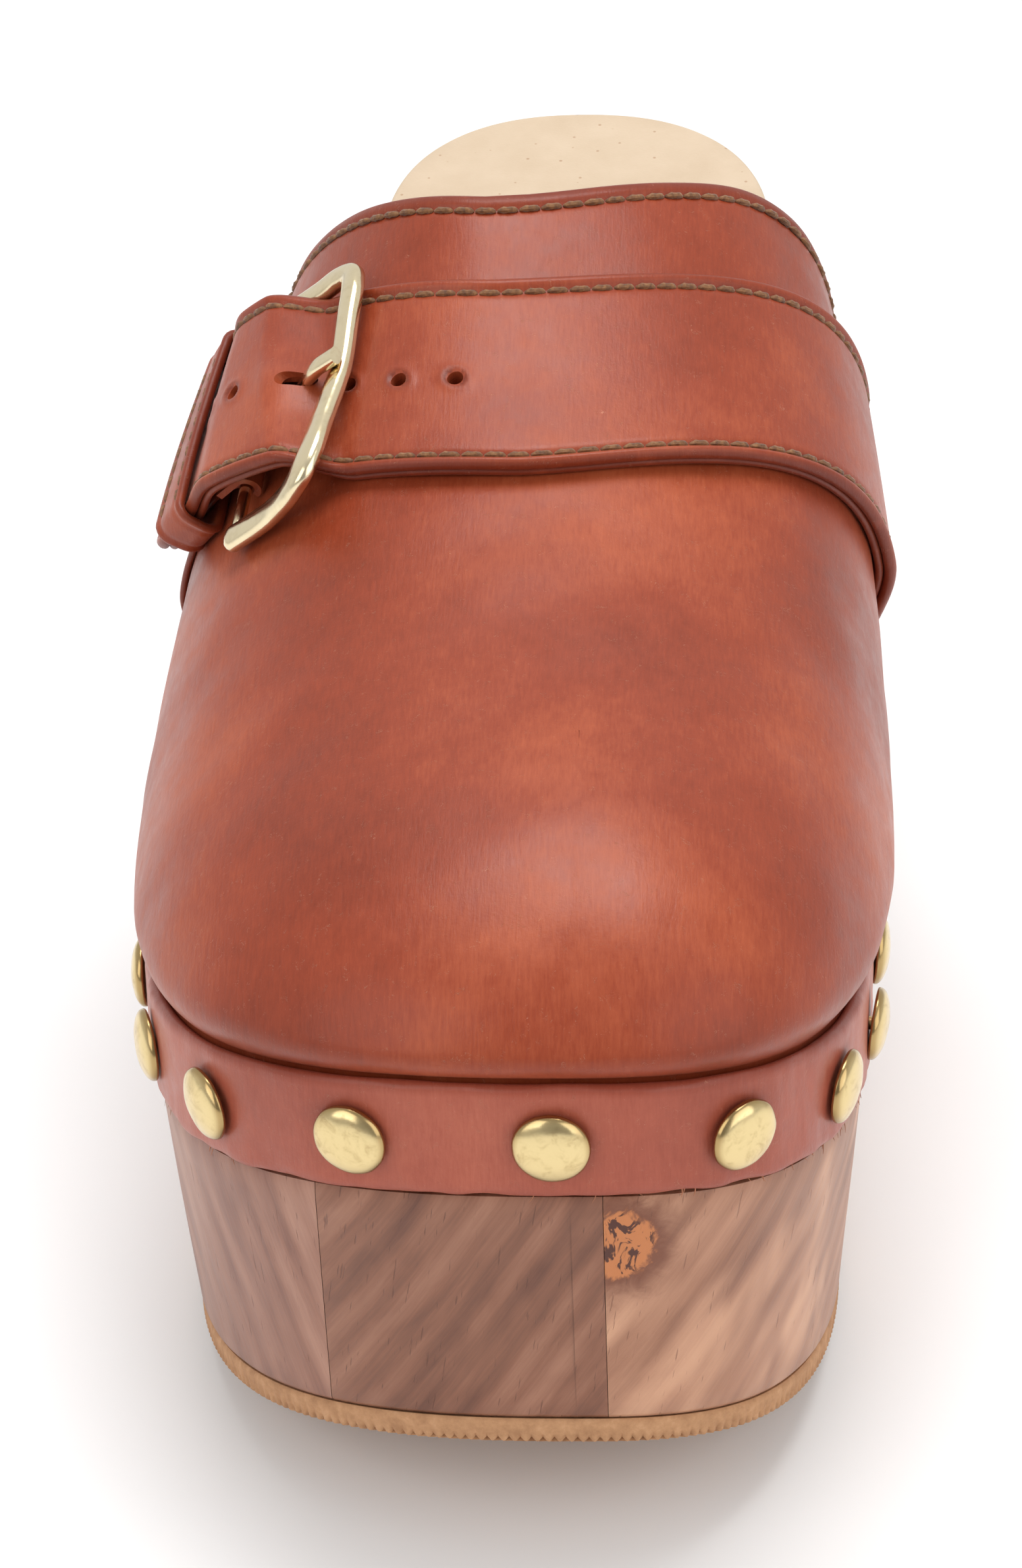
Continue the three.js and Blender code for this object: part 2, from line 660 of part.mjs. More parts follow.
function beltTop() {
  const half = (u) => BELT_HALF * tipHalf(u);
  const low = (u) => beltLift(u) + BELT_LINING + GAP;
  const high = (u) => low(u) + BELT_TOP;
  return cut(plate({ places: beltPlaces, half, low, high }), [...roundHoles, prongSlot(PRONG_SLOT.from)]);
}

function beltUnder() {
  const half = (u) => (BELT_HALF - 0.8) * tipHalf(u);
  const high = (u) => beltLift(u) + BELT_LINING;
  const slot = prongSlot(PRONG_SLOT.liningFrom);
  return cut(plate({ places: beltPlaces, half, low: beltLift, high }), [...roundHoles, slot]);
}

// ---- The buckle and what holds it ----

function buckleFrame() {
  const reach = BAR_REACH;
  const corner = 4.4;
  const toeLift = 2.6; // the bar bows up over the belt's toe side
  const heelLift = 0.8; // and a little over its heel side
  const path = new THREE.CatmullRomCurve3(
    [
      [0, -FRAME_HALF, 0],
      [reach * 0.5, -FRAME_HALF, toeLift * 0.2],
      [reach - corner, -FRAME_HALF, toeLift * 0.7],
      [reach - 1.2, -FRAME_HALF + 1.4, toeLift],
      [reach, -FRAME_HALF + corner, toeLift],
      [reach, -FRAME_HALF / 2, toeLift * 0.6],
      [reach, 0, 0.3],
      [reach, FRAME_HALF / 2, heelLift * 0.8],
      [reach, FRAME_HALF - corner, heelLift],
      [reach - 1.2, FRAME_HALF - 1.4, heelLift * 0.6],
      [reach - corner, FRAME_HALF, heelLift * 0.3],
      [reach * 0.5, FRAME_HALF, 0],
      [0, FRAME_HALF, 0],
    ].map((p) => new THREE.Vector3(...p)),
  );
  const section = new THREE.Shape().absarc(0, 0, WIRE_R, 0, 2 * Math.PI);
  const wire = new THREE.ExtrudeGeometry(section, {
    steps: 30,
    curveSegments: 5,
    bevelEnabled: false,
    extrudePath: path,
  });
  const eyes = SIDES.map((side) => new THREE.CylinderGeometry(EYE_R, EYE_R, 3, 12).translate(0, side * FRAME_HALF, 0));
  const bore = new THREE.CylinderGeometry(PIN_R + GAP, PIN_R + GAP, 4 * FRAME_HALF, 12);
  return cut(join(wire, ...eyes), [bore]);
}

const bucklePin = () => new THREE.CylinderGeometry(PIN_R, PIN_R, 2 * FRAME_HALF + 4, 12);

function buckleProng() {
  const front = BAR_REACH;
  const loop = PIN_R + GAP + PRONG_R;
  const turns = steps(6, 1.35 * Math.PI, 0.5 * Math.PI).map(
    (angle) => new THREE.Vector3(loop * Math.cos(angle), 0, loop * Math.sin(angle)),
  );
  const top = 0.3 + WIRE_R + GAP + PRONG_R;
  const path = new THREE.CatmullRomCurve3([
    ...turns,
    new THREE.Vector3(front * 0.38, 0, loop + 0.15),
    new THREE.Vector3(front * 0.7, 0, lerp(loop, top, 0.55)),
    new THREE.Vector3(front, 0, top),
    new THREE.Vector3(front + 2.2, 0, top),
  ]);
  const section = new THREE.Shape().absarc(0, 0, PRONG_R, 0, 2 * Math.PI);
  return new THREE.ExtrudeGeometry(section, {
    steps: 22,
    curveSegments: 5,
    bevelEnabled: false,
    extrudePath: path,
  });
}

// The fixed leather that comes up from the sole, goes round the pin and back down.
const CHAPE = 1;
const CHAPE_HALF = 12;
function chape() {
  const foot = BELT_OUTER_U + BELT_LOW_U;
  const low = (u) => GAP + (KEEPER.leather + GAP) * (u > KEEPER.from - 4 ? ease((u - KEEPER.from + 4) / 3) : 0);
  const past = 2.5; // the plate is made longer than it is, then cut square to the pin
  const lower = plate({
    places: steps(17, foot, PIN_U + past),
    half: (u) => lerp(BELT_HALF, CHAPE_HALF, ease((u - foot) / (PIN_U - past - foot))),
    low: (u) => Math.min(low(u), lerp(low(u), PIN_W - PIN_R - GAP - CHAPE, ease((u - PIN_U + 8) / 6))),
    high: (u) => Math.min(low(u), lerp(low(u), PIN_W - PIN_R - GAP - CHAPE, ease((u - PIN_U + 8) / 6))) + CHAPE,
  });
  const inner = PIN_R + GAP;
  const ring = new THREE.Shape();
  ring.absarc(0, 0, inner + CHAPE, -Math.PI / 2, Math.PI / 2, false);
  ring.lineTo(-4.5, inner + CHAPE - 0.5);
  ring.lineTo(-4.5, inner - 0.5);
  ring.lineTo(0, inner);
  ring.absarc(0, 0, inner, Math.PI / 2, -Math.PI / 2, true);
  const wrap = new THREE.ExtrudeGeometry(ring, { depth: 2 * CHAPE_HALF, bevelEnabled: false, curveSegments: 8 });
  wrap.translate(0, 0, -CHAPE_HALF).rotateX(Math.PI / 2);
  const slot = boxBetween([-4.2, -PRONG_R - 2 * GAP, -FAR / 20], [6, PRONG_R + 2 * GAP, FAR / 20]);
  const bore = new THREE.CylinderGeometry(inner, inner, 4 * FRAME_HALF, 16);
  const beyond = boxBetween([0.2, -2 * CHAPE_HALF, -8], [12, 2 * CHAPE_HALF, 8]);
  for (const piece of [wrap, slot, bore, beyond]) piece.applyMatrix4(pinFrame);
  return cut(join(cut(lower, [beyond]), wrap), [slot, bore]);
}

// A flat leather loop round the belt and the leather under it.
function keeper() {
  const places = steps(3, KEEPER.from, KEEPER.to);
  const top = (u) => beltLift(u) + BELT_LINING + GAP + BELT_TOP + GAP;
  const outer = plate({
    places,
    half: () => BELT_HALF + GAP + KEEPER.leather,
    low: () => GAP,
    high: (u) => top(u) + KEEPER.leather,
    columns: 8,
  });
  const inner = plate({
    places: steps(4, KEEPER.from - 3, KEEPER.to + 3),
    half: () => BELT_HALF + GAP,
    low: () => GAP + KEEPER.leather,
    high: top,
    columns: 8,
  });
  return cut(outer, [inner]);
}

// ---- Materials ----
const material = (color, roughness, metalness = 0) =>
  new THREE.MeshStandardMaterial({ color, roughness, metalness });
const WALNUT = material("#8f6549", 0.6);
const PALE_WALNUT = material("#b9906f", 0.6);
const RUBBER = material("#b98e68", 0.85);
const COGNAC = material("#a5502f", 0.42);
const RAND_LEATHER = material("#96503c", 0.5);
const NATURAL_LEATHER = material("#f2d3ab", 0.7);
const LINING = material("#dcb98f", 0.8);
const STIFFENER = material("#d8cfc0", 0.9);
const BRASS = material("#cdb878", 0.35, 1);
const PALE_GOLD = material("#d9c59a", 0.2, 1);

// ---- The assembly ----
const clog = new THREE.Group();

function add(name, geometry, finish, parent = clog) {
  const mesh = new THREE.Mesh(geometry, finish);
  mesh.name = name;
  parent.add(mesh);
  return mesh;
}

for (const [name, geometry] of Object.entries(staves())) {
  add(name, cut(geometry, nailHoles), name === "sole_stave_inner" ? PALE_WALNUT : WALNUT);
}
add("forefoot_tread", forefootTread(), RUBBER);
add("heel_tread", heelTread(), RUBBER);
add("insole_sock", insole(), NATURAL_LEATHER);
add("vamp", cut(vamp(), nailHoles), COGNAC);
add("toe_puff", toePuff(), STIFFENER);
add("vamp_lining", vampLining(), LINING);
add("rand", cut(rand(), nailHoles), RAND_LEATHER);
nailPlaces.forEach(([side, length], i) => {
  const name = `dome_nail_${String(i + 1).padStart(2, "0")}`;
  add(name, nail(), BRASS).applyMatrix4(nailMatrix(side, length));
});
add("belt_top", beltTop(), COGNAC);
add("belt_lining", beltUnder(), COGNAC);
add("belt_chape", chape(), COGNAC);
add("belt_keeper", keeper(), COGNAC);

const buckle = new THREE.Group();
buckle.applyMatrix4(pinFrame);
clog.add(buckle);
add("buckle_frame", buckleFrame(), PALE_GOLD, buckle);
add("buckle_pin", bucklePin(), PALE_GOLD, buckle);
add("buckle_prong", buckleProng(), PALE_GOLD, buckle);

// The origin is under the middle of the whole shoe, on the ground.
clog.updateMatrixWorld(true);
const bounds = new THREE.Box3().setFromObject(clog);
const middle = bounds.getCenter(new THREE.Vector3());
clog.position.set(-middle.x, -middle.y, -bounds.min.z);

export default clog;
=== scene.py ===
"""A right-foot wooden platform clog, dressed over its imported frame.

The frame gives the place of every piece. Shapes are worked out in millimetres from the toe tip, in the same
way as the frame's own solids, and are then moved into the frame, in metres.
"""

import logging
import math
from collections.abc import Callable, Sequence
from dataclasses import dataclass, field
from enum import Enum

import bmesh
import bpy
import numpy as np
from mathutils import Matrix, Vector


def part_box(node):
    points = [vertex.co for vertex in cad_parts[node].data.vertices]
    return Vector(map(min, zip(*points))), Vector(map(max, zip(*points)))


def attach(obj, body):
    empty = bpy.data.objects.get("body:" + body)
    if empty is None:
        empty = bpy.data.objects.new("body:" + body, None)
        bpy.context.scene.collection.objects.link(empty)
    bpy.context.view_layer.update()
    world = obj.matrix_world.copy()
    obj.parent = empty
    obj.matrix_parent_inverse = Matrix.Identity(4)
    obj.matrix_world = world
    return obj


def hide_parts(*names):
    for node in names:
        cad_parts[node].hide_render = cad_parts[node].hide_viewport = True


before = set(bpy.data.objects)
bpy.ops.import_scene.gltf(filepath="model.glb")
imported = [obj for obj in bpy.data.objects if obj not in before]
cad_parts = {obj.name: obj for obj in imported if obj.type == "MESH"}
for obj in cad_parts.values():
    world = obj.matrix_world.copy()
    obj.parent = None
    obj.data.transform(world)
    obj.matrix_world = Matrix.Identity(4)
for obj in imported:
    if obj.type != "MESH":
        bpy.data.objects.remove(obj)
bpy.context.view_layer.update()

log = logging.getLogger("clog")
Colour = tuple[float, float, float]
Socket = bpy.types.NodeSocket

MM = 0.001
GAP = 0.3  # clearance between neighbouring pieces, in millimetres
SEAMS = (-24.0, 12.0)  # the two glue seams between the staves
PAST_THE_SIDES = 80.0  # further out than any point of the sole
RUN_STEPS = 2400  # samples of the outline where the rubber's fine ribs are laid out
SHOE = "shoe"
BUCKLE = "buckle"
PRONG = "prong"


class Side(Enum):
    """The two sides of the foot; the value is the sign of x."""

    OUTER = -1
    INNER = 1

    @property
    def number(self) -> int:
        """0 for the outer side and 1 for the inner side."""
        return 0 if self is Side.OUTER else 1


def ease(t: np.ndarray | float) -> np.ndarray:
    """A smooth step from 0 to 1 as t goes from 0 to 1."""
    t = np.clip(t, 0.0, 1.0)
    return t * t * (3.0 - 2.0 * t)


def blend(a: float | np.ndarray, b: float | np.ndarray, t: float | np.ndarray) -> np.ndarray:
    """The value t of the way from a to b."""
    return a + (np.asarray(b) - a) * t


def unit(v: np.ndarray) -> np.ndarray:
    """Vectors of length one in the same directions."""
    return v / np.maximum(np.linalg.norm(v, axis=-1, keepdims=True), 1e-12)


def bell(distance: np.ndarray, width: float) -> np.ndarray:
    """A smooth bump, 1 where distance is 0 and small beyond width."""
    return np.exp(-((distance / width) ** 2))


def paced(path: np.ndarray) -> np.ndarray:
    """The length along a path to each of its points."""
    return np.concatenate([[0], np.cumsum(np.linalg.norm(np.diff(path, axis=0), axis=1))])


class Waver:
    """Smooth, seeded unevenness over space, made of a few sine waves."""

    def __init__(self, seed: int, wavelength: float, waves: int = 9) -> None:
        """Draws the waves.

        Args:
            seed: the seed of the random draw.
            wavelength: the mean length of the waves, in millimetres.
            waves: how many waves are added up.
        """
        draw = np.random.default_rng(seed)
        way = unit(draw.normal(size=(waves, 3)))
        self.pitch = way * (2 * math.pi / (wavelength * draw.uniform(0.6, 1.6, (waves, 1))))
        self.phase = draw.uniform(0, 2 * math.pi, waves)

    def at(self, points: np.ndarray) -> np.ndarray:
        """The unevenness, about -1 to 1, at points in millimetres."""
        return np.sin(points @ self.pitch.T + self.phase).sum(-1) / math.sqrt(len(self.phase))


# ---- The shape of the shoe ----


@dataclass(frozen=True)
class Footprint:
    """The sole's outline and heights. t runs 0..1 over the toe, 1..2 over the waist, 2..3 round the heel."""

    toe_tip_x: float = 8.0
    ball_width: tuple[float, float] = (59.4, 38.5)
    ball_depth: tuple[float, float] = (86.4, 77.6)
    toe_power: float = 2.64
    waist_power: float = 1.3
    heel_start: float = 212.5
    heel_depth: float = 35.5
    heel_half_width: float = 31.7
    heel_x: float = 4.0
    heel_power: float = 2.3
    spring_rise: float = 20.9
    spring_start: float = 78.0
    spring_power: float = 1.62
    ball_edge: float = 58.8
    shank_start: float = 86.0
    shank_end: float = 207.0
    seat_edge: float = 95.8
    seat_slope: float = 0.145
    upper_end: float = 1.64

    def outline(self, side: Side, t: np.ndarray | float) -> np.ndarray:
        """Points of the outline.

        Args:
            side: which side of the foot.
            t: places along the outline, 0 to 3.

        Returns:
            The points' x and y in the last axis.
        """
        t = np.asarray(t, float)
        sign = side.value
        width = self.ball_width[side.number]
        depth = self.ball_depth[side.number]
        toe = np.clip(t, 0, 1) * math.pi / 2
        toe_x = self.toe_tip_x + sign * width * np.sin(toe) ** (2 / self.toe_power)
        toe_y = depth * (1 - np.maximum(0, np.cos(toe)) ** (2 / self.toe_power))
        share = np.clip(t - 1, 0, 1)
        ball_x = self.toe_tip_x + sign * width
        seat_x = self.heel_x + sign * self.heel_half_width
        waist_x = blend(ball_x, seat_x, ease(share**self.waist_power))
        waist_y = blend(depth, self.heel_start, share)
        heel = np.clip(t - 2, 0, 1) * math.pi / 2
        round_x = np.maximum(0, np.cos(heel)) ** (2 / self.heel_power)
        heel_x = self.heel_x + sign * self.heel_half_width * round_x
        heel_y = self.heel_start + self.heel_depth * np.sin(heel) ** (2 / self.heel_power)
        x = np.where(t <= 1, toe_x, np.where(t <= 2, waist_x, heel_x))
        y = np.where(t <= 1, toe_y, np.where(t <= 2, waist_y, heel_y))
        return np.stack([x, y], -1)

    def outward(self, side: Side, t: np.ndarray | float) -> np.ndarray:
        """The outline's outward direction at places t.

        Args:
            side: which side of the foot.
            t: places along the outline, 0 to 3.

        Returns:
            The directions' x and y in the last axis.
        """
        t = np.asarray(t, float)
        reach = 0.004
        along = self.outline(side, np.minimum(3, t + reach)) - self.outline(side, np.maximum(0, t - reach))
        out = unit(np.stack([side.value * along[..., 1], -side.value * along[..., 0]], -1))
        out = np.where((t < 1e-6)[..., None], [0.0, -1.0], out)
        return np.where((t > 3 - 1e-6)[..., None], [0.0, 1.0], out)

    def spring(self, y: np.ndarray | float) -> np.ndarray:
        """How far the toe spring lifts the underside at y."""
        return self.spring_rise * np.clip((self.spring_start - y) / self.spring_start, 0, 1.2) ** self.spring_power

    def edge_height(self, y: np.ndarray | float) -> np.ndarray:
        """The height of the footbed's edge at y.

        Args:
            y: how far back from the toe tip.

        Returns:
            The heights over the ground at the heel.
        """
        y = np.asarray(y, float)
        length = self.shank_end - self.shank_start
        t = np.clip((y - self.shank_start) / length, 0, 1)
        shank = blend(self.ball_edge, self.seat_edge, ease(t)) + (t**3 - t**2) * length * self.seat_slope
        seat = self.seat_edge + (y - self.shank_end) * self.seat_slope
        behind = np.where(y > self.shank_end, seat, shank)
        return np.where(y < self.shank_start, self.ball_edge + self.spring(y), behind)

    def run(self, side: Side, t_end: float = 2.0, count: int = 600) -> tuple[np.ndarray, np.ndarray]:
        """Places along the outline and the lengths to them from the toe tip."""
        t = np.linspace(0, t_end, count + 1)
        return t, paced(self.outline(side, t))

    def place_at(self, side: Side, length: np.ndarray | float) -> np.ndarray:
        """The place t at a length along the outline from the toe tip."""
        t, lengths = self.run(side)
        return np.interp(length, lengths, t)

    def upper_length(self, side: Side) -> float:
        """How far back the upper is nailed on, along the outline."""
        t, lengths = self.run(side)
        return float(lengths[np.argmax(t >= self.upper_end)])


@dataclass(frozen=True)
class UpperForm:
    """The leather upper's outer face: ribs rise from the nailed edge to a ridge over the foot."""

    foot: Footprint = field(default_factory=Footprint)
    ridge_start: float = 42.0
    ridge_end: float = 136.5
    ridge_low: float = 104.0
    ridge_rise: float = 30.9
    ridge_power: float = 1.8
    ridge_from_x: float = 9.0
    ridge_to_x: float = -6.0
    rib_spread: float = 1.52
    rib_squaring: float = 0.8
    toe_power: float = 1.84
    rib_power: tuple[float, float] = (2.2, 3.3)
    toe_swell: float = 4.2
    swell: tuple[float, float] = (4.0, 5.6)
    swell_angle: float = 0.24
    crease_tuck: float = -1.2

    def point(self, side: Side, rib: np.ndarray | float, angle: np.ndarray | float) -> np.ndarray:
        """Points of the upper's outer face.

        Args:
            side: which side of the ridge.
            rib: 0 at the toe tip to 1 at the throat.
            angle: 0 at the nailed edge to a quarter turn on the ridge.

        Returns:
            The points' x, y and z in the last axis.
        """
        rib, angle = np.broadcast_arrays(np.asarray(rib, float), np.asarray(angle, float))
        t = self.foot.place_at(side, rib * self.foot.upper_length(side))
        edge = self.foot.outline(side, t)
        outward = self.foot.outward(side, t)
        low = self.foot.edge_height(edge[..., 1])
        ridge_y = blend(self.ridge_start, self.ridge_end, np.maximum(0, rib) ** self.rib_spread)
        along = (ridge_y - self.ridge_start) / (self.ridge_end - self.ridge_start)
        ridge_z = self.ridge_low + self.ridge_rise * along**self.ridge_power
        ridge_x = blend(self.ridge_from_x, self.ridge_to_x, rib)
        power = blend(self.toe_power, self.rib_power[side.number], rib)
        inward = 1 - np.maximum(0, np.cos(angle)) ** (2 / power)
        upward = np.maximum(0, np.sin(angle)) ** (2 / power)
        backward = 1 - (1 - inward) ** (1 + self.rib_squaring * ease(rib))
        fullness = blend(self.toe_swell, self.swell[side.number], ease(rib / 0.45))
        swell = self.crease_tuck + fullness * np.sin(np.clip(angle / self.swell_angle, 0, 1) * math.pi / 2)
        out = swell * (1 - inward)
        return np.stack(
            [
                blend(edge[..., 0], ridge_x, inward) + outward[..., 0] * out,
                blend(edge[..., 1], ridge_y, backward) + outward[..., 1] * out,
                blend(low, ridge_z, upward),
            ],
            -1,
        )


class BeltLine:
    """Places on the belt: u runs along it from the ridge, outer side below 0, v across it and w off the upper."""

    def __init__(self, form: UpperForm, rib: float = 0.776, sweep: tuple[float, float] = (0.09, 0.08)) -> None:
        """Measures the belt's middle line.

        Args:
            form: the upper that the belt lies on.
            rib: the rib on which the belt crosses the ridge.
            sweep: how far the belt runs back as it goes down, on the outer and the inner side.
        """
        self.form = form
        self.rib = rib
        self.sweep = sweep
        self.turns = np.linspace(-1, 1, 401)
        middle = self.middle(self.turns)
        lengths = paced(middle)
        self.lengths = lengths - lengths[200]
        self.outer_u = float(self.lengths[0])
        self.inner_u = float(self.lengths[-1])

    def middle(self, turn: np.ndarray, rib_shift: np.ndarray | float = 0.0) -> np.ndarray:
        """Points at turn, -1 on the outer edge to 1 on the inner edge, shifted by a share of the ribs.

        Args:
            turn: places over the foot.
            rib_shift: how much nearer the throat the points are.

        Returns:
            The points.
        """
        angle = (1 - np.abs(turn)) * math.pi / 2
        found = []
        for side in Side:
            rib = self.rib + self.sweep[side.number] * np.abs(turn) ** 1.5 + rib_shift
            found.append(self.form.point(side, rib, angle))
        return np.where((turn < 0)[..., None], found[0], found[1])

    def surface(self, u: np.ndarray, v: np.ndarray) -> np.ndarray:
        """Points on the upper itself.

        Args:
            u: places along the belt.
            v: places across the belt.

        Returns:
            The points.
        """
        turn = np.interp(u, self.lengths, self.turns)
        probe = 0.01
        pace = np.linalg.norm(self.middle(turn, probe) - self.middle(turn, -probe), axis=-1) / (2 * probe)
        return self.middle(turn, v / pace)

    def at(self, u: np.ndarray | float, v: np.ndarray | float, w: np.ndarray | float) -> np.ndarray:
        """Points at u along, v across and w off the upper, all in millimetres.

        Args:
            u: places along the belt.
            v: places across the belt.
            w: heights off the upper.

        Returns:
            The points.
        """
        u, v, w = np.broadcast_arrays(np.asarray(u, float), np.asarray(v, float), np.asarray(w, float))
        reach = 1.5
        low = np.maximum(self.outer_u + 0.1, u - reach)
        high = np.minimum(self.inner_u - 0.1, u + reach)
        along = self.surface(high, v) - self.surface(low, v)
        across = self.surface(u, v + reach) - self.surface(u, v - reach)
        return self.surface(u, v) + unit(np.cross(along, across)) * w[..., None]


# ---- Meshes ----


@dataclass
class Shape:
    """Points in millimetres and the faces between them."""

    points: np.ndarray
    faces: list[tuple[int, ...]]
    wear_and_shade: np.ndarray | None = None  # how darkened each point is, 0 to 1: burnish, and painted shade along the rand's top edge

    @property
    def burnish_and_shade(self) -> np.ndarray:
        """The darkening of every point, from wear and from painted shade, nought where none was given."""
        return np.zeros(len(self.points)) if self.wear_and_shade is None else self.wear_and_shade.ravel()

    def plus(self, other: "Shape") -> "Shape":
        """This shape and another one as one shape."""
        first = len(self.points)
        moved = [tuple(i + first for i in face) for face in other.faces]
        wear_and_shade = np.concatenate([self.burnish_and_shade, other.burnish_and_shade])
        return Shape(np.concatenate([self.points, other.points]), self.faces + moved, wear_and_shade)


def sheet_faces(rows: int, columns: int, ring: bool = False, loop: bool = False) -> list[tuple[int, ...]]:
    """Four-cornered faces over a grid of points.

    Args:
        rows: number of rows.
        columns: number of points in a row.
        ring: whether the last column joins the first.
        loop: whether the last row joins the first.

    Returns:
        The faces.
    """
    faces = []
    for r in range(rows if loop else rows - 1):
        below = ((r + 1) % rows) * columns
        for c in range(columns if ring else columns - 1):
            right = (c + 1) % columns
            faces.append((r * columns + c, r * columns + right, below + right, below + c))
    return faces


def skin(sections: np.ndarray, loop: bool = False, capped: bool = True, wear_and_shade: np.ndarray | None = None) -> Shape:
    """A body through sections that are rings of points.

    Args:
        sections: the rings, in the first axis.
        loop: whether the last ring joins the first.
        capped: whether the two ends are closed; ends that come to a line or a point need no cap.
        wear_and_shade: the darkening of every point, from wear and from painted shade.

    Returns:
        The body.
    """
    rows, columns = sections.shape[:2]
    faces = sheet_faces(rows, columns, ring=True, loop=loop)
    if capped and not loop:
        faces.append(tuple(range(columns))[::-1])
        faces.append(tuple(range((rows - 1) * columns, rows * columns)))
    return Shape(sections.reshape(-1, 3), faces, wear_and_shade)


def spun(profile: Sequence[tuple[float, float]], count: int = 40) -> Shape:
    """A body turned about the y axis from (radius, height) pairs that start and end on the axis."""
    angles = np.linspace(0, 2 * math.pi, count, endpoint=False)
    rings = [[(r * math.cos(a), h, r * math.sin(a)) for a in angles] for r, h in profile]
    return skin(np.array(rings))


def smooth_path(points: np.ndarray, count: int) -> np.ndarray:
    """A smooth curve through points.

    Args:
        points: the points that it passes through.
        count: how many samples of it are wanted.

    Returns:
        The samples, evenly spread.
    """
    paces = np.linalg.norm(np.diff(points, axis=0), axis=1)
    knots = np.concatenate([[0], np.cumsum(paces)])
    slopes = np.gradient(points, knots, axis=0)
    where = np.linspace(0, knots[-1], count)
    i = np.clip(np.searchsorted(knots, where, side="right") - 1, 0, len(points) - 2)
    t = ((where - knots[i]) / paces[i])[:, None]
    pace = paces[i][:, None]
    start = (1 + 2 * t) * (1 - t) ** 2 * points[i] + t * (1 - t) ** 2 * pace * slopes[i]
    return start + t**2 * (3 - 2 * t) * points[i + 1] + t**2 * (t - 1) * pace * slopes[i + 1]


def wire(path: np.ndarray, across: np.ndarray, wide: np.ndarray | float, thick: np.ndarray | float) -> Shape:
    """A bar with a rounded-square section along a path.

    Args:
        path: the bar's middle line.
        across: a direction that stays square to the path as nearly as can be.
        wide: half the bar's size square to across.
        thick: half the bar's size along the direction that is square to both.

    Returns:
        The bar's closed body.
    """
    along = unit(np.gradient(path, axis=0))
    third = unit(np.cross(along, across))
    flat = unit(np.cross(third, along))
    angles = np.linspace(0, 2 * math.pi, 20, endpoint=False)
    power = 2 / 2.6
    a = np.sign(np.cos(angles)) * np.abs(np.cos(angles)) ** power
    b = np.sign(np.sin(angles)) * np.abs(np.sin(angles)) ** power
    wide = np.broadcast_to(wide, len(path))[:, None, None]
    thick = np.broadcast_to(thick, len(path))[:, None, None]
    sections = path[:, None] + third[:, None] * a[None, :, None] * wide + flat[:, None] * b[None, :, None] * thick
    return skin(sections)


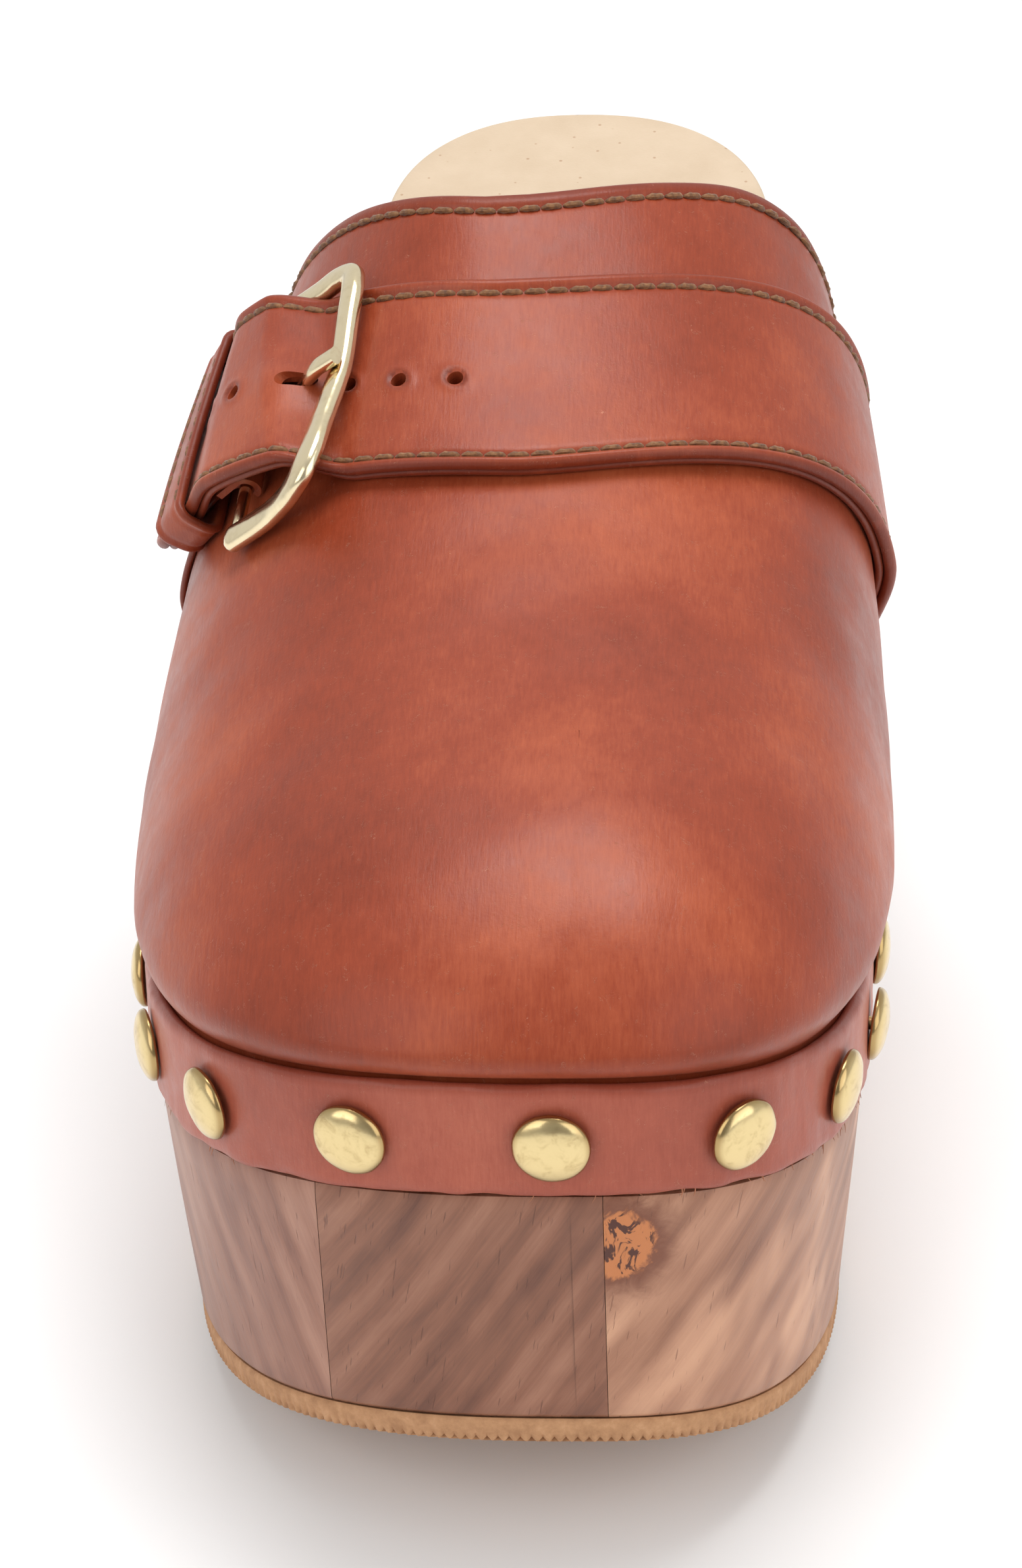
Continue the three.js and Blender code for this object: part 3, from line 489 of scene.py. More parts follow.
class Workshop:
    """Puts shapes into the frame as pieces with a finish."""

    def __init__(self) -> None:
        """Finds how far the frame's origin lies from the toe tip."""
        low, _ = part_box("sole_stave_middle")
        self.shift = np.array([low.x - (SEAMS[0] + GAP / 2) * MM, low.y, 0.0])

    def placed(self, points: np.ndarray) -> np.ndarray:
        """Points in the frame, in metres, from points in millimetres from the toe tip."""
        return points * MM + self.shift

    def bare(self, name: str, shape: Shape, weld: float = 0.02, crease: float = 40.0) -> bpy.types.Object:
        """A new object from a shape.

        Args:
            name: the object's name.
            shape: its points and faces.
            weld: points closer than this, in millimetres, become one.
            crease: edges that bend more than this many degrees stay sharp.

        Returns:
            The object, in the frame.
        """
        mesh = bpy.data.meshes.new(name)
        mesh.from_pydata(self.placed(shape.points).tolist(), [], shape.faces)
        # the points' darkening goes to the finishes: burnish, and painted shade on the rand's top edge
        mesh.attributes.new("wear_and_shade", "FLOAT", "POINT").data.foreach_set("value", shape.burnish_and_shade)
        form = bmesh.new()
        form.from_mesh(mesh)
        bmesh.ops.remove_doubles(form, verts=form.verts, dist=weld * MM)
        bmesh.ops.dissolve_degenerate(form, edges=form.edges, dist=weld * MM * 0.2)
        bmesh.ops.recalc_face_normals(form, faces=form.faces)
        self.shade(form, crease)
        form.to_mesh(mesh)
        form.free()
        made = bpy.data.objects.new(name, mesh)
        bpy.context.scene.collection.objects.link(made)
        return made

    def shade(self, form: bmesh.types.BMesh, crease: float) -> None:
        """Smooth faces, with sharp edges where the mesh bends more than crease degrees.

        Args:
            form: the mesh.
            crease: the greatest smooth bend.
        """
        for face in form.faces:
            face.smooth = True
        limit = math.radians(crease)
        for edge in form.edges:
            edge.smooth = len(edge.link_faces) == 2 and edge.calc_face_angle(0.0) < limit

    def dress(
        self,
        made: bpy.types.Object,
        finish: "Finish",
        slot: str,
        nodes: Sequence[str] = (),
        body: str = SHOE,
    ) -> bpy.types.Object:
        """Gives a piece its finish and its place among the frame's bodies.

        Args:
            made: the piece.
            finish: its finish.
            slot: the record's material slot; not used.
            nodes: the frame's nodes that it stands for.
            body: the body that it moves with.

        Returns:
            The same piece.
        """
        made.data.materials.clear()
        made.data.materials.append(finish.material())
        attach(made, body)
        if nodes:
            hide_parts(*nodes)
        log.info("%s: %d points on %s", made.name, len(made.data.vertices), body)
        return made

    def modify(self, made: bpy.types.Object, kind: str, **settings: object) -> bpy.types.Modifier:
        """Adds a modifier with its settings.

        Args:
            made: the piece.
            kind: the modifier's type.
            settings: its properties.

        Returns:
            The modifier.
        """
        modifier = made.modifiers.new(kind.title(), kind)
        for key, value in settings.items():
            setattr(modifier, key, value)
        return modifier

    def settle(self, made: bpy.types.Object, crease: float = 40.0) -> bpy.types.Object:
        """Applies all of a piece's modifiers and shades it anew.

        Args:
            made: the piece.
            crease: edges that bend more than this many degrees stay sharp.

        Returns:
            The same piece.
        """
        bpy.context.view_layer.update()
        seen = made.evaluated_get(bpy.context.evaluated_depsgraph_get())
        mesh = bpy.data.meshes.new_from_object(seen)
        made.modifiers.clear()
        made.data = mesh
        form = bmesh.new()
        form.from_mesh(mesh)
        self.shade(form, crease)
        form.to_mesh(mesh)
        form.free()
        return made

    def carve(self, made: bpy.types.Object, cutter: bpy.types.Object) -> bpy.types.Object:
        """Cuts one object out of another and removes the cutter.

        Args:
            made: the piece.
            cutter: the object that is cut out and removed.

        Returns:
            The same piece.
        """
        self.modify(made, "BOOLEAN", operation="DIFFERENCE", object=cutter, solver="EXACT")
        self.settle(made)
        bpy.data.objects.remove(cutter)
        return made


# ---- Finishes ----


def tint(red: float, green: float, blue: float) -> Colour:
    """A linear colour from its 0 to 255 screen values."""
    return tuple((c / 255) ** 2.2 for c in (red, green, blue))


class Recipe:
    """The node tree of one finish. Lengths are in millimetres."""

    def __init__(self, name: str) -> None:
        """Starts the tree with its shader."""
        self.material = bpy.data.materials.new(name)
        self.material.use_nodes = True
        self.tree = self.material.node_tree
        self.shader = self.tree.nodes["Principled BSDF"]
        self.normal: Socket | None = None

    def node(self, kind: str, **settings: object) -> bpy.types.Node:
        """A new node with its settings.

        Args:
            kind: the node's type.
            settings: its properties.

        Returns:
            The node.
        """
        made = self.tree.nodes.new(kind)
        for key, value in settings.items():
            setattr(made, key, value)
        return made

    def feed(self, socket: Socket, value: "Socket | float | Colour") -> None:
        """Links a socket to another one, or sets its value.

        Args:
            socket: the socket that is fed.
            value: another socket, or what is set.
        """
        if isinstance(value, bpy.types.NodeSocket):
            self.tree.links.new(value, socket)
        elif socket.type == "RGBA" and len(value) == 3:
            socket.default_value = (*value, 1.0)
        else:
            socket.default_value = value

    def give(self, **values: "Socket | float | Colour") -> None:
        """Feeds the shader; an underscore in a name stands for a space."""
        for name, value in values.items():
            self.feed(self.shader.inputs[name.replace("_", " ")], value)

    def place(self, turn: Colour = (0, 0, 0), stretch: Colour = (1, 1, 1)) -> Socket:
        """Places on the piece, in millimetres.

        Args:
            turn: degrees by which the pattern is turned about each axis.
            stretch: how much longer the pattern is along each axis after the turn.

        Returns:
            The socket with the places.
        """
        source = self.node("ShaderNodeTexCoord").outputs["Object"]
        turned = self.node("ShaderNodeMapping")
        self.feed(turned.inputs["Vector"], source)
        turned.inputs["Rotation"].default_value = [math.radians(a) for a in turn]
        sized = self.node("ShaderNodeMapping")
        self.feed(sized.inputs["Vector"], turned.outputs[0])
        sized.inputs["Scale"].default_value = [1 / MM / s for s in stretch]
        return sized.outputs[0]

    def noise(self, where: Socket, size: float, detail: float = 3, rough: float = 0.55, warp: float = 0) -> Socket:
        """Cloudy unevenness with features of the given size.

        Args:
            where: places on the piece.
            size: the features' size.
            detail: how many finer layers are added.
            rough: how strong the finer layers are.
            warp: how much the pattern is pushed about.

        Returns:
            The socket with the values.
        """
        made = self.node("ShaderNodeTexNoise")
        self.feed(made.inputs["Vector"], where)
        for name, value in (("Scale", 1 / size), ("Detail", detail), ("Roughness", rough), ("Distortion", warp)):
            made.inputs[name].default_value = value
        return made.outputs["Fac"]

    def cells(self, where: Socket, size: float, feature: str = "F1") -> Socket:
        """Distances in a field of cells of the given size.

        Args:
            where: places on the piece.
            size: the cells' size.
            feature: which distance is taken.

        Returns:
            The socket with the distances.
        """
        made = self.node("ShaderNodeTexVoronoi", feature=feature)
        self.feed(made.inputs["Vector"], where)
        made.inputs["Scale"].default_value = 1 / size
        return made.outputs["Distance"]

    def bands(self, where: Socket, size: float, warp: float, detail: float = 3, detail_scale: float = 1.0) -> Socket:
        """Bands across x, size apart, pushed about by warp.

        Args:
            where: places on the piece.
            size: their distance.
            warp: how much they are pushed about.
            detail: how many finer layers push them.
            detail_scale: how fine those layers are.

        Returns:
            The socket with the values.
        """
        made = self.node("ShaderNodeTexWave", wave_type="BANDS", bands_direction="X", wave_profile="SIN")
        self.feed(made.inputs["Vector"], where)
        values = {"Scale": 1 / size / 3.2, "Distortion": warp, "Detail": detail, "Detail Scale": detail_scale}
        for name, value in values.items():
            made.inputs[name].default_value = value
        return made.outputs["Fac"]

    def level(self, value: Socket, low: float, high: float) -> Socket:
        """0 where value is low, 1 where it is high, smooth between; low may be the larger one.

        Args:
            value: the value.
            low: where the result is 0.
            high: where the result is 1.

        Returns:
            The socket with the result.
        """
        made = self.node("ShaderNodeMapRange", interpolation_type="SMOOTHSTEP")
        self.feed(made.inputs["Value"], value)
        made.inputs["From Min"].default_value = low
        made.inputs["From Max"].default_value = high
        return made.outputs["Result"]

    def math(self, operation: str, a: Socket | float, b: Socket | float = 0.0) -> Socket:
        """One sum of two values.

        Args:
            operation: which sum.
            a: the first value.
            b: the second value.

        Returns:
            The socket with the result.
        """
        made = self.node("ShaderNodeMath", operation=operation)
        self.feed(made.inputs[0], a)
        self.feed(made.inputs[1], b)
        return made.outputs[0]

    def mix(self, share: Socket | float, a: Socket | Colour, b: Socket | Colour, mode: str = "MIX") -> Socket:
        """Two colours mixed.

        Args:
            share: how much of b there is.
            a: the first colour.
            b: the second colour.
            mode: how they are mixed.

        Returns:
            The socket with the colour.
        """
        made = self.node("ShaderNodeMix", data_type="RGBA", blend_type=mode)
        self.feed(made.inputs[0], share)
        self.feed(made.inputs[6], a)
        self.feed(made.inputs[7], b)
        return made.outputs[2]

    def ramp(self, value: Socket, *stops: tuple[float, Colour]) -> Socket:
        """Colours along a scale of values.

        Args:
            value: the value.
            stops: places on the scale and their colours.

        Returns:
            The socket with the colour.
        """
        made = self.node("ShaderNodeValToRGB")
        self.feed(made.inputs[0], value)
        while len(made.color_ramp.elements) < len(stops):
            made.color_ramp.elements.new(0.5)
        for element, (position, colour) in zip(made.color_ramp.elements, stops):
            element.position = position
            element.color = (*colour, 1.0)
        return made.outputs[0]

    def wear_and_shade(self) -> Socket:
        """How darkened the surface is, as the piece's points say: burnish, and on the rand's top edge painted shade.
        """
        return self.node("ShaderNodeAttribute", attribute_name="wear_and_shade").outputs["Fac"]

    def near(self, centre: np.ndarray, reach: Colour) -> Socket:
        """The distance from centre, which is 1 on an ellipsoid of the given reaches in metres.

        Args:
            centre: the middle, in metres.
            reach: the reach along each axis.

        Returns:
            The socket with the distance.
        """
        source = self.node("ShaderNodeTexCoord").outputs["Object"]
        moved = self.node("ShaderNodeMapping", vector_type="TEXTURE")
        self.feed(moved.inputs["Vector"], source)
        moved.inputs["Location"].default_value = centre
        moved.inputs["Scale"].default_value = reach
        made = self.node("ShaderNodeVectorMath", operation="LENGTH")
        self.feed(made.inputs[0], moved.outputs[0])
        return made.outputs["Value"]

    def bump(self, height: Socket, depth: float) -> None:
        """Raises the surface by height times depth, in millimetres.

        Args:
            height: the socket with the height, 0 to 1.
            depth: the greatest rise.
        """
        made = self.node("ShaderNodeBump")
        made.inputs["Strength"].default_value = 1.0
        made.inputs["Distance"].default_value = depth * MM
        self.feed(made.inputs["Height"], height)
        if self.normal is not None:
            self.feed(made.inputs["Normal"], self.normal)
        self.normal = made.outputs[0]
        self.feed(self.shader.inputs["Normal"], self.normal)


@dataclass(frozen=True)
class Finish:
    """A finish that is made once and shared by its pieces."""

    name: str

    def material(self) -> bpy.types.Material:
        """The finish's material.

        Returns:
            The material, made at the first call.
        """
        full_name = f"{self.name}_finish"
        found = bpy.data.materials.get(full_name)
        if found:
            return found
        recipe = Recipe(full_name)
        self.mix_into(recipe)
        return recipe.material

    def mix_into(self, recipe: Recipe) -> None:
        """Builds the finish's nodes."""
        raise NotImplementedError


@dataclass(frozen=True)
class OiledLeather(Finish):
    """Pull-up leather: oiled, burnished dark in places, darkened by painted shade along the rand's top edge, with pale
    scuffed fibres.
    """

    dark: Colour = tint(100, 40, 24)
    body: Colour = tint(135, 58, 35)
    light: Colour = tint(170, 86, 54)
    fibre: Colour = tint(206, 150, 122)
    roughness: float = 0.4
    sheen: float = 0.05
    scuffs: float = 0.45

    def mix_into(self, recipe: Recipe) -> None:
        """Builds cloudy colour, fine vertical grain, fibres, pores, burnished places and painted shade where the
        points carry it.
        """
        where = recipe.place()
        grain_way = recipe.place(stretch=(1, 7, 7))
        broad = recipe.noise(where, 34, 2, 0.4)
        cloud = recipe.noise(where, 4.0, 5, 0.66)
        grain = recipe.noise(grain_way, 0.4, 3, 0.65)
        tone = recipe.math("ADD", recipe.math("MULTIPLY", broad, 0.58), recipe.math("MULTIPLY", cloud, 0.2))
        tone = recipe.math("ADD", tone, recipe.math("MULTIPLY", grain, 0.22))
        colour = recipe.ramp(tone, (0.24, self.dark), (0.5, self.body), (0.76, self.light))
        # darkens where the points say: burnish, and painted shade along the rand's top edge
        burnish_and_shade = recipe.math("MULTIPLY", recipe.wear_and_shade(), recipe.level(cloud, 0.1, 0.55))
        colour = recipe.mix(burnish_and_shade, colour, self.dark)
        lines = recipe.noise(where, 2.3, 4, 0.62, 3.2)
        lines = recipe.level(recipe.math("ABSOLUTE", recipe.math("SUBTRACT", lines, 0.5)), 0.011, 0.002)
        gate = recipe.level(recipe.noise(where, 1.4, 3, 0.7), 0.56, 0.66)
        scuffs = recipe.math("MULTIPLY", recipe.math("MULTIPLY", lines, gate), self.scuffs)
        colour = recipe.mix(scuffs, colour, self.fibre)
        recipe.give(Base_Color=colour, Specular_IOR_Level=0.27, Sheen_Weight=self.sheen, Sheen_Roughness=0.42)
        recipe.give(Sheen_Tint=tint(255, 190, 170), Coat_Weight=0.05, Coat_Roughness=0.25)
        shine = recipe.math("MULTIPLY", recipe.math("SUBTRACT", cloud, 0.5), 0.35)
        shine = recipe.math("ADD", recipe.math("ADD", shine, self.roughness), recipe.math("MULTIPLY", scuffs, 0.2))
        recipe.give(Roughness=shine)
        recipe.bump(recipe.noise(where, 8.0, 2, 0.4), 0.08)
        recipe.bump(recipe.noise(where, 0.45, 3, 0.6), 0.03)
        recipe.bump(recipe.math("ADD", grain, recipe.math("MULTIPLY", scuffs, 0.8)), 0.045)


@dataclass(frozen=True)
class StaveWood(Finish):
    """Oiled hardwood with end-to-end figure, pores and wear."""

    dark: Colour = tint(110, 68, 54)
    body: Colour = tint(146, 102, 84)
    light: Colour = tint(172, 128, 108)
    sapwood: Colour = tint(196, 148, 118)
    sap_share: float = 0.0
    slant: float = 24.0
    knot: tuple[float, float, float] | None = None
    knot_reach: tuple[float, float, float] = (0.0046, 0.008, 0.0062)
    knot_rim: Colour = tint(112, 66, 46)
    knot_heart: Colour = tint(182, 112, 66)
    bark: Colour = tint(74, 36, 22)

    def mix_into(self, recipe: Recipe) -> None:
        """Builds slanting bands, streaks, pores, sapwood and a knot."""
        turn = (0, self.slant, 0)
        figure = recipe.bands(recipe.place(turn, (1, 12, 6)), 4.2, 4.0, 3, 1.4)
        wide = recipe.noise(recipe.place(turn, (1, 9, 3.4)), 7.0, 3, 0.55, 0.4)
        upright = (0, self.slant * 0.3, 0)
        streak = recipe.noise(recipe.place(turn, (1, 36, 26)), 0.42, 4, 0.65, 0.1)
        tone = recipe.math("ADD", recipe.math("MULTIPLY", figure, 0.1), recipe.math("MULTIPLY", wide, 0.62))
        tone = recipe.math("ADD", tone, recipe.math("MULTIPLY", streak, 0.28))
        colour = recipe.ramp(tone, (0.28, self.dark), (0.5, self.body), (0.74, self.light))
        if self.sap_share:
            pale = recipe.noise(recipe.place(turn, (1, 2, 5)), 9.0, 2, 0.5, 0.5)
            pale = recipe.level(pale, 1.0 - self.sap_share - 0.1, 1.0 - self.sap_share + 0.1)
            pale_tone = recipe.ramp(tone, (0.35, self.light), (0.6, self.sapwood))
            colour = recipe.mix(pale, colour, pale_tone)
        pores = recipe.noise(recipe.place(upright, (1, 4, 16)), 0.32, 2, 0.5)
        pores = recipe.level(pores, 0.66, 0.74)
        colour = recipe.mix(recipe.math("MULTIPLY", pores, 0.6), colour, self.dark)
        if self.knot is not None:
            ragged = recipe.noise(recipe.place(), 3.0, 4, 0.65, 0.8)
            reach = recipe.math("ADD", recipe.near(np.array(self.knot), self.knot_reach), ragged)
            colour = recipe.mix(recipe.level(reach, 2.3, 1.4), colour, self.knot_rim)
            colour = recipe.mix(recipe.level(reach, 1.5, 1.3), colour, self.knot_heart)
            bark = recipe.level(recipe.noise(recipe.place(stretch=(1, 1, 1.6)), 2.8, 3, 0.6, 1.4), 0.53, 0.58)
            bark = recipe.math("MULTIPLY", bark, recipe.level(reach, 1.55, 1.2))
            colour = recipe.mix(bark, colour, self.bark)
        colour = recipe.mix(recipe.math("MULTIPLY", recipe.wear_and_shade(), 0.7), colour, self.dark)
        recipe.give(Base_Color=colour, Specular_IOR_Level=0.4, Coat_Weight=0.1, Coat_Roughness=0.28)
        recipe.give(Roughness=recipe.math("ADD", recipe.math("MULTIPLY", streak, 0.3), 0.3))
        recipe.bump(recipe.math("SUBTRACT", streak, pores), 0.05)
        recipe.bump(recipe.noise(recipe.place(turn, (1, 3, 4)), 3.0, 2), 0.12)


@dataclass(frozen=True)
class CrepeRubber(Finish):
    """Tan sole rubber, dull and dusty."""

    dark: Colour = tint(158, 116, 84)
    body: Colour = tint(178, 134, 98)
    light: Colour = tint(196, 152, 116)
    worn: Colour = tint(150, 106, 76)

    def mix_into(self, recipe: Recipe) -> None:
        """Builds mottled colour and a fine rough surface."""
        where = recipe.place()
        mottle = recipe.noise(where, 2.2, 5, 0.7)
        colour = recipe.ramp(mottle, (0.3, self.dark), (0.55, self.body), (0.78, self.light))
        colour = recipe.mix(recipe.wear_and_shade(), colour, self.worn)
        recipe.give(Base_Color=colour, Roughness=0.82, Specular_IOR_Level=0.3)
        recipe.bump(recipe.noise(where, 0.5, 4, 0.7), 0.06)


@dataclass(frozen=True)
class BareHide(Finish):
    """Undyed vegetable-tanned leather with small specks."""

    body: Colour = tint(184, 163, 138)
    light: Colour = tint(193, 173, 149)
    speck: Colour = tint(146, 108, 76)
    roughness: float = 0.58

    def mix_into(self, recipe: Recipe) -> None:
        """Builds soft clouds, specks and pores."""
        where = recipe.place()
        cloud = recipe.noise(where, 11, 5, 0.6)
        colour = recipe.ramp(cloud, (0.3, self.body), (0.7, self.light))
        specks = recipe.level(recipe.cells(where, 3.4), 0.1, 0.05)
        colour = recipe.mix(recipe.math("MULTIPLY", specks, 0.6), colour, self.speck)
        colour = recipe.mix(recipe.math("MULTIPLY", recipe.wear_and_shade(), 0.45), colour, self.speck)
        recipe.give(Base_Color=colour, Roughness=self.roughness, Specular_IOR_Level=0.35)
        recipe.bump(recipe.cells(where, 0.5), 0.03)


@dataclass(frozen=True)
class CastMetal(Finish):
    """Plated or aged metal with a little wear."""

    body: Colour = tint(226, 208, 160)
    stain: Colour = tint(160, 128, 70)
    roughness: float = 0.22
    stained: float = 0.35
    dents: float = 0.03

    def mix_into(self, recipe: Recipe) -> None:
        """Builds stains, a varying shine and small dents."""
        where = recipe.place()
        cloud = recipe.noise(where, 2.4, 5, 0.7, 0.5)
        stain = recipe.math("MULTIPLY", recipe.level(cloud, 0.45, 0.72), self.stained)
        stain = recipe.math("MAXIMUM", stain, recipe.math("MULTIPLY", recipe.wear_and_shade(), 0.7))
        recipe.give(Base_Color=recipe.mix(stain, self.body, self.stain), Metallic=1.0)
        recipe.give(Roughness=recipe.math("ADD", recipe.math("MULTIPLY", cloud, 0.24), self.roughness - 0.1))
        recipe.bump(recipe.noise(where, 1.6, 3, 0.55), self.dents)


@dataclass(frozen=True)
class WaxedThread(Finish):
    """Waxed olive-brown stitching thread."""

    dark: Colour = tint(82, 50, 28)
    body: Colour = tint(118, 78, 44)
    light: Colour = tint(146, 104, 64)

    def mix_into(self, recipe: Recipe) -> None:
        """Builds uneven thread colour."""
        cloud = recipe.noise(recipe.place(), 0.7, 3, 0.6)
        colour = recipe.ramp(cloud, (0.3, self.dark), (0.55, self.body), (0.8, self.light))
        recipe.give(Base_Color=colour, Roughness=0.6, Sheen_Weight=0.2, Specular_IOR_Level=0.4)
        recipe.bump(recipe.noise(recipe.place(), 0.16, 2), 0.05)


@dataclass(frozen=True)
class FeltBoard(Finish):
    """The stiff board inside the toe."""

    body: Colour = tint(196, 182, 158)
    light: Colour = tint(222, 212, 192)

    def mix_into(self, recipe: Recipe) -> None:
        """Builds a pale fibrous surface."""
        cloud = recipe.noise(recipe.place(), 0.8, 4, 0.7)
        recipe.give(Base_Color=recipe.ramp(cloud, (0.3, self.body), (0.7, self.light)))
        recipe.give(Roughness=0.95)


@dataclass(frozen=True)
class PaleGround(Finish):
    """The plain pale floor."""

    body: Colour = (0.86, 0.86, 0.86)

    def mix_into(self, recipe: Recipe) -> None:
        """Sets one plain colour."""
        recipe.give(Base_Color=self.body, Roughness=0.9, Specular_IOR_Level=0.1)


COGNAC = OiledLeather("cognac_leather")
RAND_LEATHER = OiledLeather("rand_leather", dark=tint(124, 56, 42), body=tint(156, 80, 62), light=tint(182, 104, 82))
THREAD = WaxedThread("waxed_thread")
RUBBER = CrepeRubber("crepe_rubber")
HIDE = BareHide("bare_hide")
SUEDE = BareHide("lining_hide", tint(206, 164, 120), tint(226, 188, 146), tint(170, 126, 86), 0.85)
BRASS = CastMetal("aged_brass", tint(216, 194, 144), tint(140, 108, 62), 0.2, 0.4, 0.015)
GOLD = CastMetal("pale_gold", tint(228, 212, 176), tint(184, 158, 108), 0.16, 0.2, 0.02)


# ---- The sole ----


@dataclass
class Platform:
    """What the slabs of the sole share: cross-sections from the toe to the heel."""

    shop: Workshop
    foot: Footprint
    tread: float = 4.0
    band: float = 16.7
    rabbet: float = 3.4
    rabbet_end: float = 1.65
    wood_top: float = 2.7
    wall_taper: float = 3.0
    heel_taper: float = 2.6
    breast: float = 184.0
    across: int = 14

    def taper(self, y: np.ndarray) -> np.ndarray:
        """How far the foot of the wall stands in at y."""
        return -self.wall_taper - self.heel_taper * ease((y - self.breast) / (self.foot.heel_start - self.breast))

    def slab(self, places: np.ndarray, profile: Callable[[Side, np.ndarray], tuple[np.ndarray, np.ndarray]]) -> Shape:
        """A body with cross-sections between the outer and the inner side.

        Args:
            places: places along the outline, one for each section.
            profile: gives how far out and how high each point of a side's wall is, bottom to top.

        Returns:
            The body.
        """
        walls = []
        for side in Side:
            out, height = profile(side, places)
            edge = self.foot.outline(side, places)[:, None] + self.foot.outward(side, places)[:, None] * out[..., None]
            walls.append(np.concatenate([edge, height[..., None]], -1))
        outer, inner = walls
        share = np.linspace(0, 1, self.across + 2)[1:-1, None]
        top = blend(outer[:, -1:], inner[:, -1:], share)
        under = blend(inner[:, :1], outer[:, :1], share)
        return skin(np.concatenate([outer, top, inner[:, ::-1], under], axis=1), capped=False)


@dataclass
class WoodenSole(Platform):
    """Three staves glued side by side, with an arch sawn out under the shank."""

    arch_start: float = 117.0
    arch_top: float = 37.0
    arch_crest: float = 166.0
    seam: float = 0.08
    sections: int = 520

    def wall(self, side: Side, t: np.ndarray) -> tuple[np.ndarray, np.ndarray]:
        """The wood's wall: tapering up to the rand's seat and stepping in behind it.

        Args:
            side: which side of the foot.
            t: places along the outline.

        Returns:
            How far out and how high each point is.
        """
        y = self.foot.outline(side, t)[:, 1]
        low = self.tread + self.foot.spring(y)
        edge = self.foot.edge_height(y)
        step = edge - self.band - 2 * GAP
        taper = self.taper(y)
        inset = -self.rabbet * (1 - ease((t - self.rabbet_end) / 0.02))
        wave = 0.12 * np.sin(y * 0.31 + side.value) + 0.1 * np.sin(y * 0.13)
        rise = np.array([0.0, 0.03, 0.1, 0.3, 0.5, 0.7, 0.88, 0.97, 1.0])
        out = taper[:, None] * (1 - rise) + wave[:, None] * np.sin(rise * math.pi)
        out -= 0.7 * bell(rise, 0.012) + 0.5 * bell(rise - 1, 0.012)
        height = blend(low[:, None], step[:, None], rise)
        top = edge - self.wood_top
        out = np.concatenate([out, inset[:, None], inset[:, None], inset[:, None] - 0.6], 1)
        height = np.concatenate([height, step[:, None], top[:, None] - 0.6, top[:, None]], 1)
        return out, height

    def arch(self) -> Shape:
        """The sawn-out arch as a solid right through the sole.

        Returns:
            The solid.
        """
        start, crest = self.arch_start, self.arch_crest
        low = self.tread
        corners = [(start, low - 3), (start, low), (137, 5), (146, 34), (crest, self.arch_top)]
        rising = self.curve(*corners[1:])
        falling = self.curve((crest, self.arch_top), (176, 38), (181, 29), (self.breast, low))
        line = [corners[0], *rising, *falling[1:], (self.breast, low - 3)]
        rings = [[(x, y, z) for y, z in line] for x in (-75.0, 75.0)]
        return skin(np.array(rings))

    def curve(self, *corners: tuple[float, float], count: int = 26) -> list[tuple[float, float]]:
        """Points of a cubic Bezier curve.

        Args:
            corners: its four control points.
            count: how many points are wanted.

        Returns:
            The points.
        """
        p = np.array(corners, float)
        t = np.linspace(0, 1, count)[:, None]
        points = (1 - t) ** 3 * p[0] + 3 * t * (1 - t) ** 2 * p[1] + 3 * t**2 * (1 - t) * p[2] + t**3 * p[3]
        return [tuple(point) for point in points]

    def stave(self, block: bpy.types.Object, name: str, low: float, high: float) -> bpy.types.Object:
        """The part of the block between two seams.

        Args:
            block: the whole sole.
            name: the stave's name.
            low: the seam on its outer side.
            high: the seam on its inner side.

        Returns:
            The stave.
        """
        form = bmesh.new()
        form.from_mesh(block.data)
        for cut, way in ((low, -1), (high, 1)):
            if abs(cut) >= PAST_THE_SIDES:
                continue
            spot = self.shop.placed(np.array([cut - way * self.seam / 2, 0, 0]))
            everything = [*form.verts, *form.edges, *form.faces]
            done = bmesh.ops.bisect_plane(
                form, geom=everything, plane_co=spot, plane_no=(way, 0, 0), clear_outer=True, dist=1e-7
            )
            edges = [e for e in done["geom_cut"] if isinstance(e, bmesh.types.BMEdge)]
            bmesh.ops.holes_fill(form, edges=edges, sides=0)
        bmesh.ops.recalc_face_normals(form, faces=form.faces)
        self.shop.shade(form, 32)
        mesh = bpy.data.meshes.new(name)
        form.to_mesh(mesh)
        form.free()
        made = bpy.data.objects.new(name, mesh)
        bpy.context.scene.collection.objects.link(made)
        return made

    def build(self) -> None:
        """Makes and dresses the three staves."""
        places = np.concatenate([self.toe_places(), np.linspace(0.05, 3, self.sections)[1:]])
        block = self.shop.bare("sole_block", self.slab(places, self.wall))
        self.shop.carve(block, self.shop.bare("arch", self.arch()))
        knot = tuple(self.shop.placed(np.array([14.2, 0.6, 55.0])))
        staves = (
            ("stave_outer", "sole_stave_outer", -PAST_THE_SIDES, SEAMS[0], StaveWood("walnut_outer", slant=16.0)),
            (
                "stave_middle",
                "sole_stave_middle",
                *SEAMS,
                StaveWood("walnut_middle", tint(92, 56, 42), tint(128, 84, 64), tint(156, 110, 88), slant=-30.0),
            ),
            (
                "stave_inner",
                "sole_stave_inner",
                SEAMS[1],
                PAST_THE_SIDES,
                StaveWood(
                    "walnut_inner",
                    tint(122, 80, 60),
                    tint(154, 108, 84),
                    tint(180, 132, 105),
                    sap_share=0.42,
                    slant=-34.0,
                    knot=knot,
                ),
            ),
        )
        for name, node, low, high, finish in staves:
            slot = "pale_walnut" if node == "sole_stave_inner" else "walnut"
            self.shop.dress(self.stave(block, name, low, high), finish, slot, [node])
        bpy.data.objects.remove(block)

    def toe_places(self) -> np.ndarray:
        """Places packed closely round the toe tip, where the outline turns."""
        return 0.05 * np.linspace(0, 1, 24) ** 2


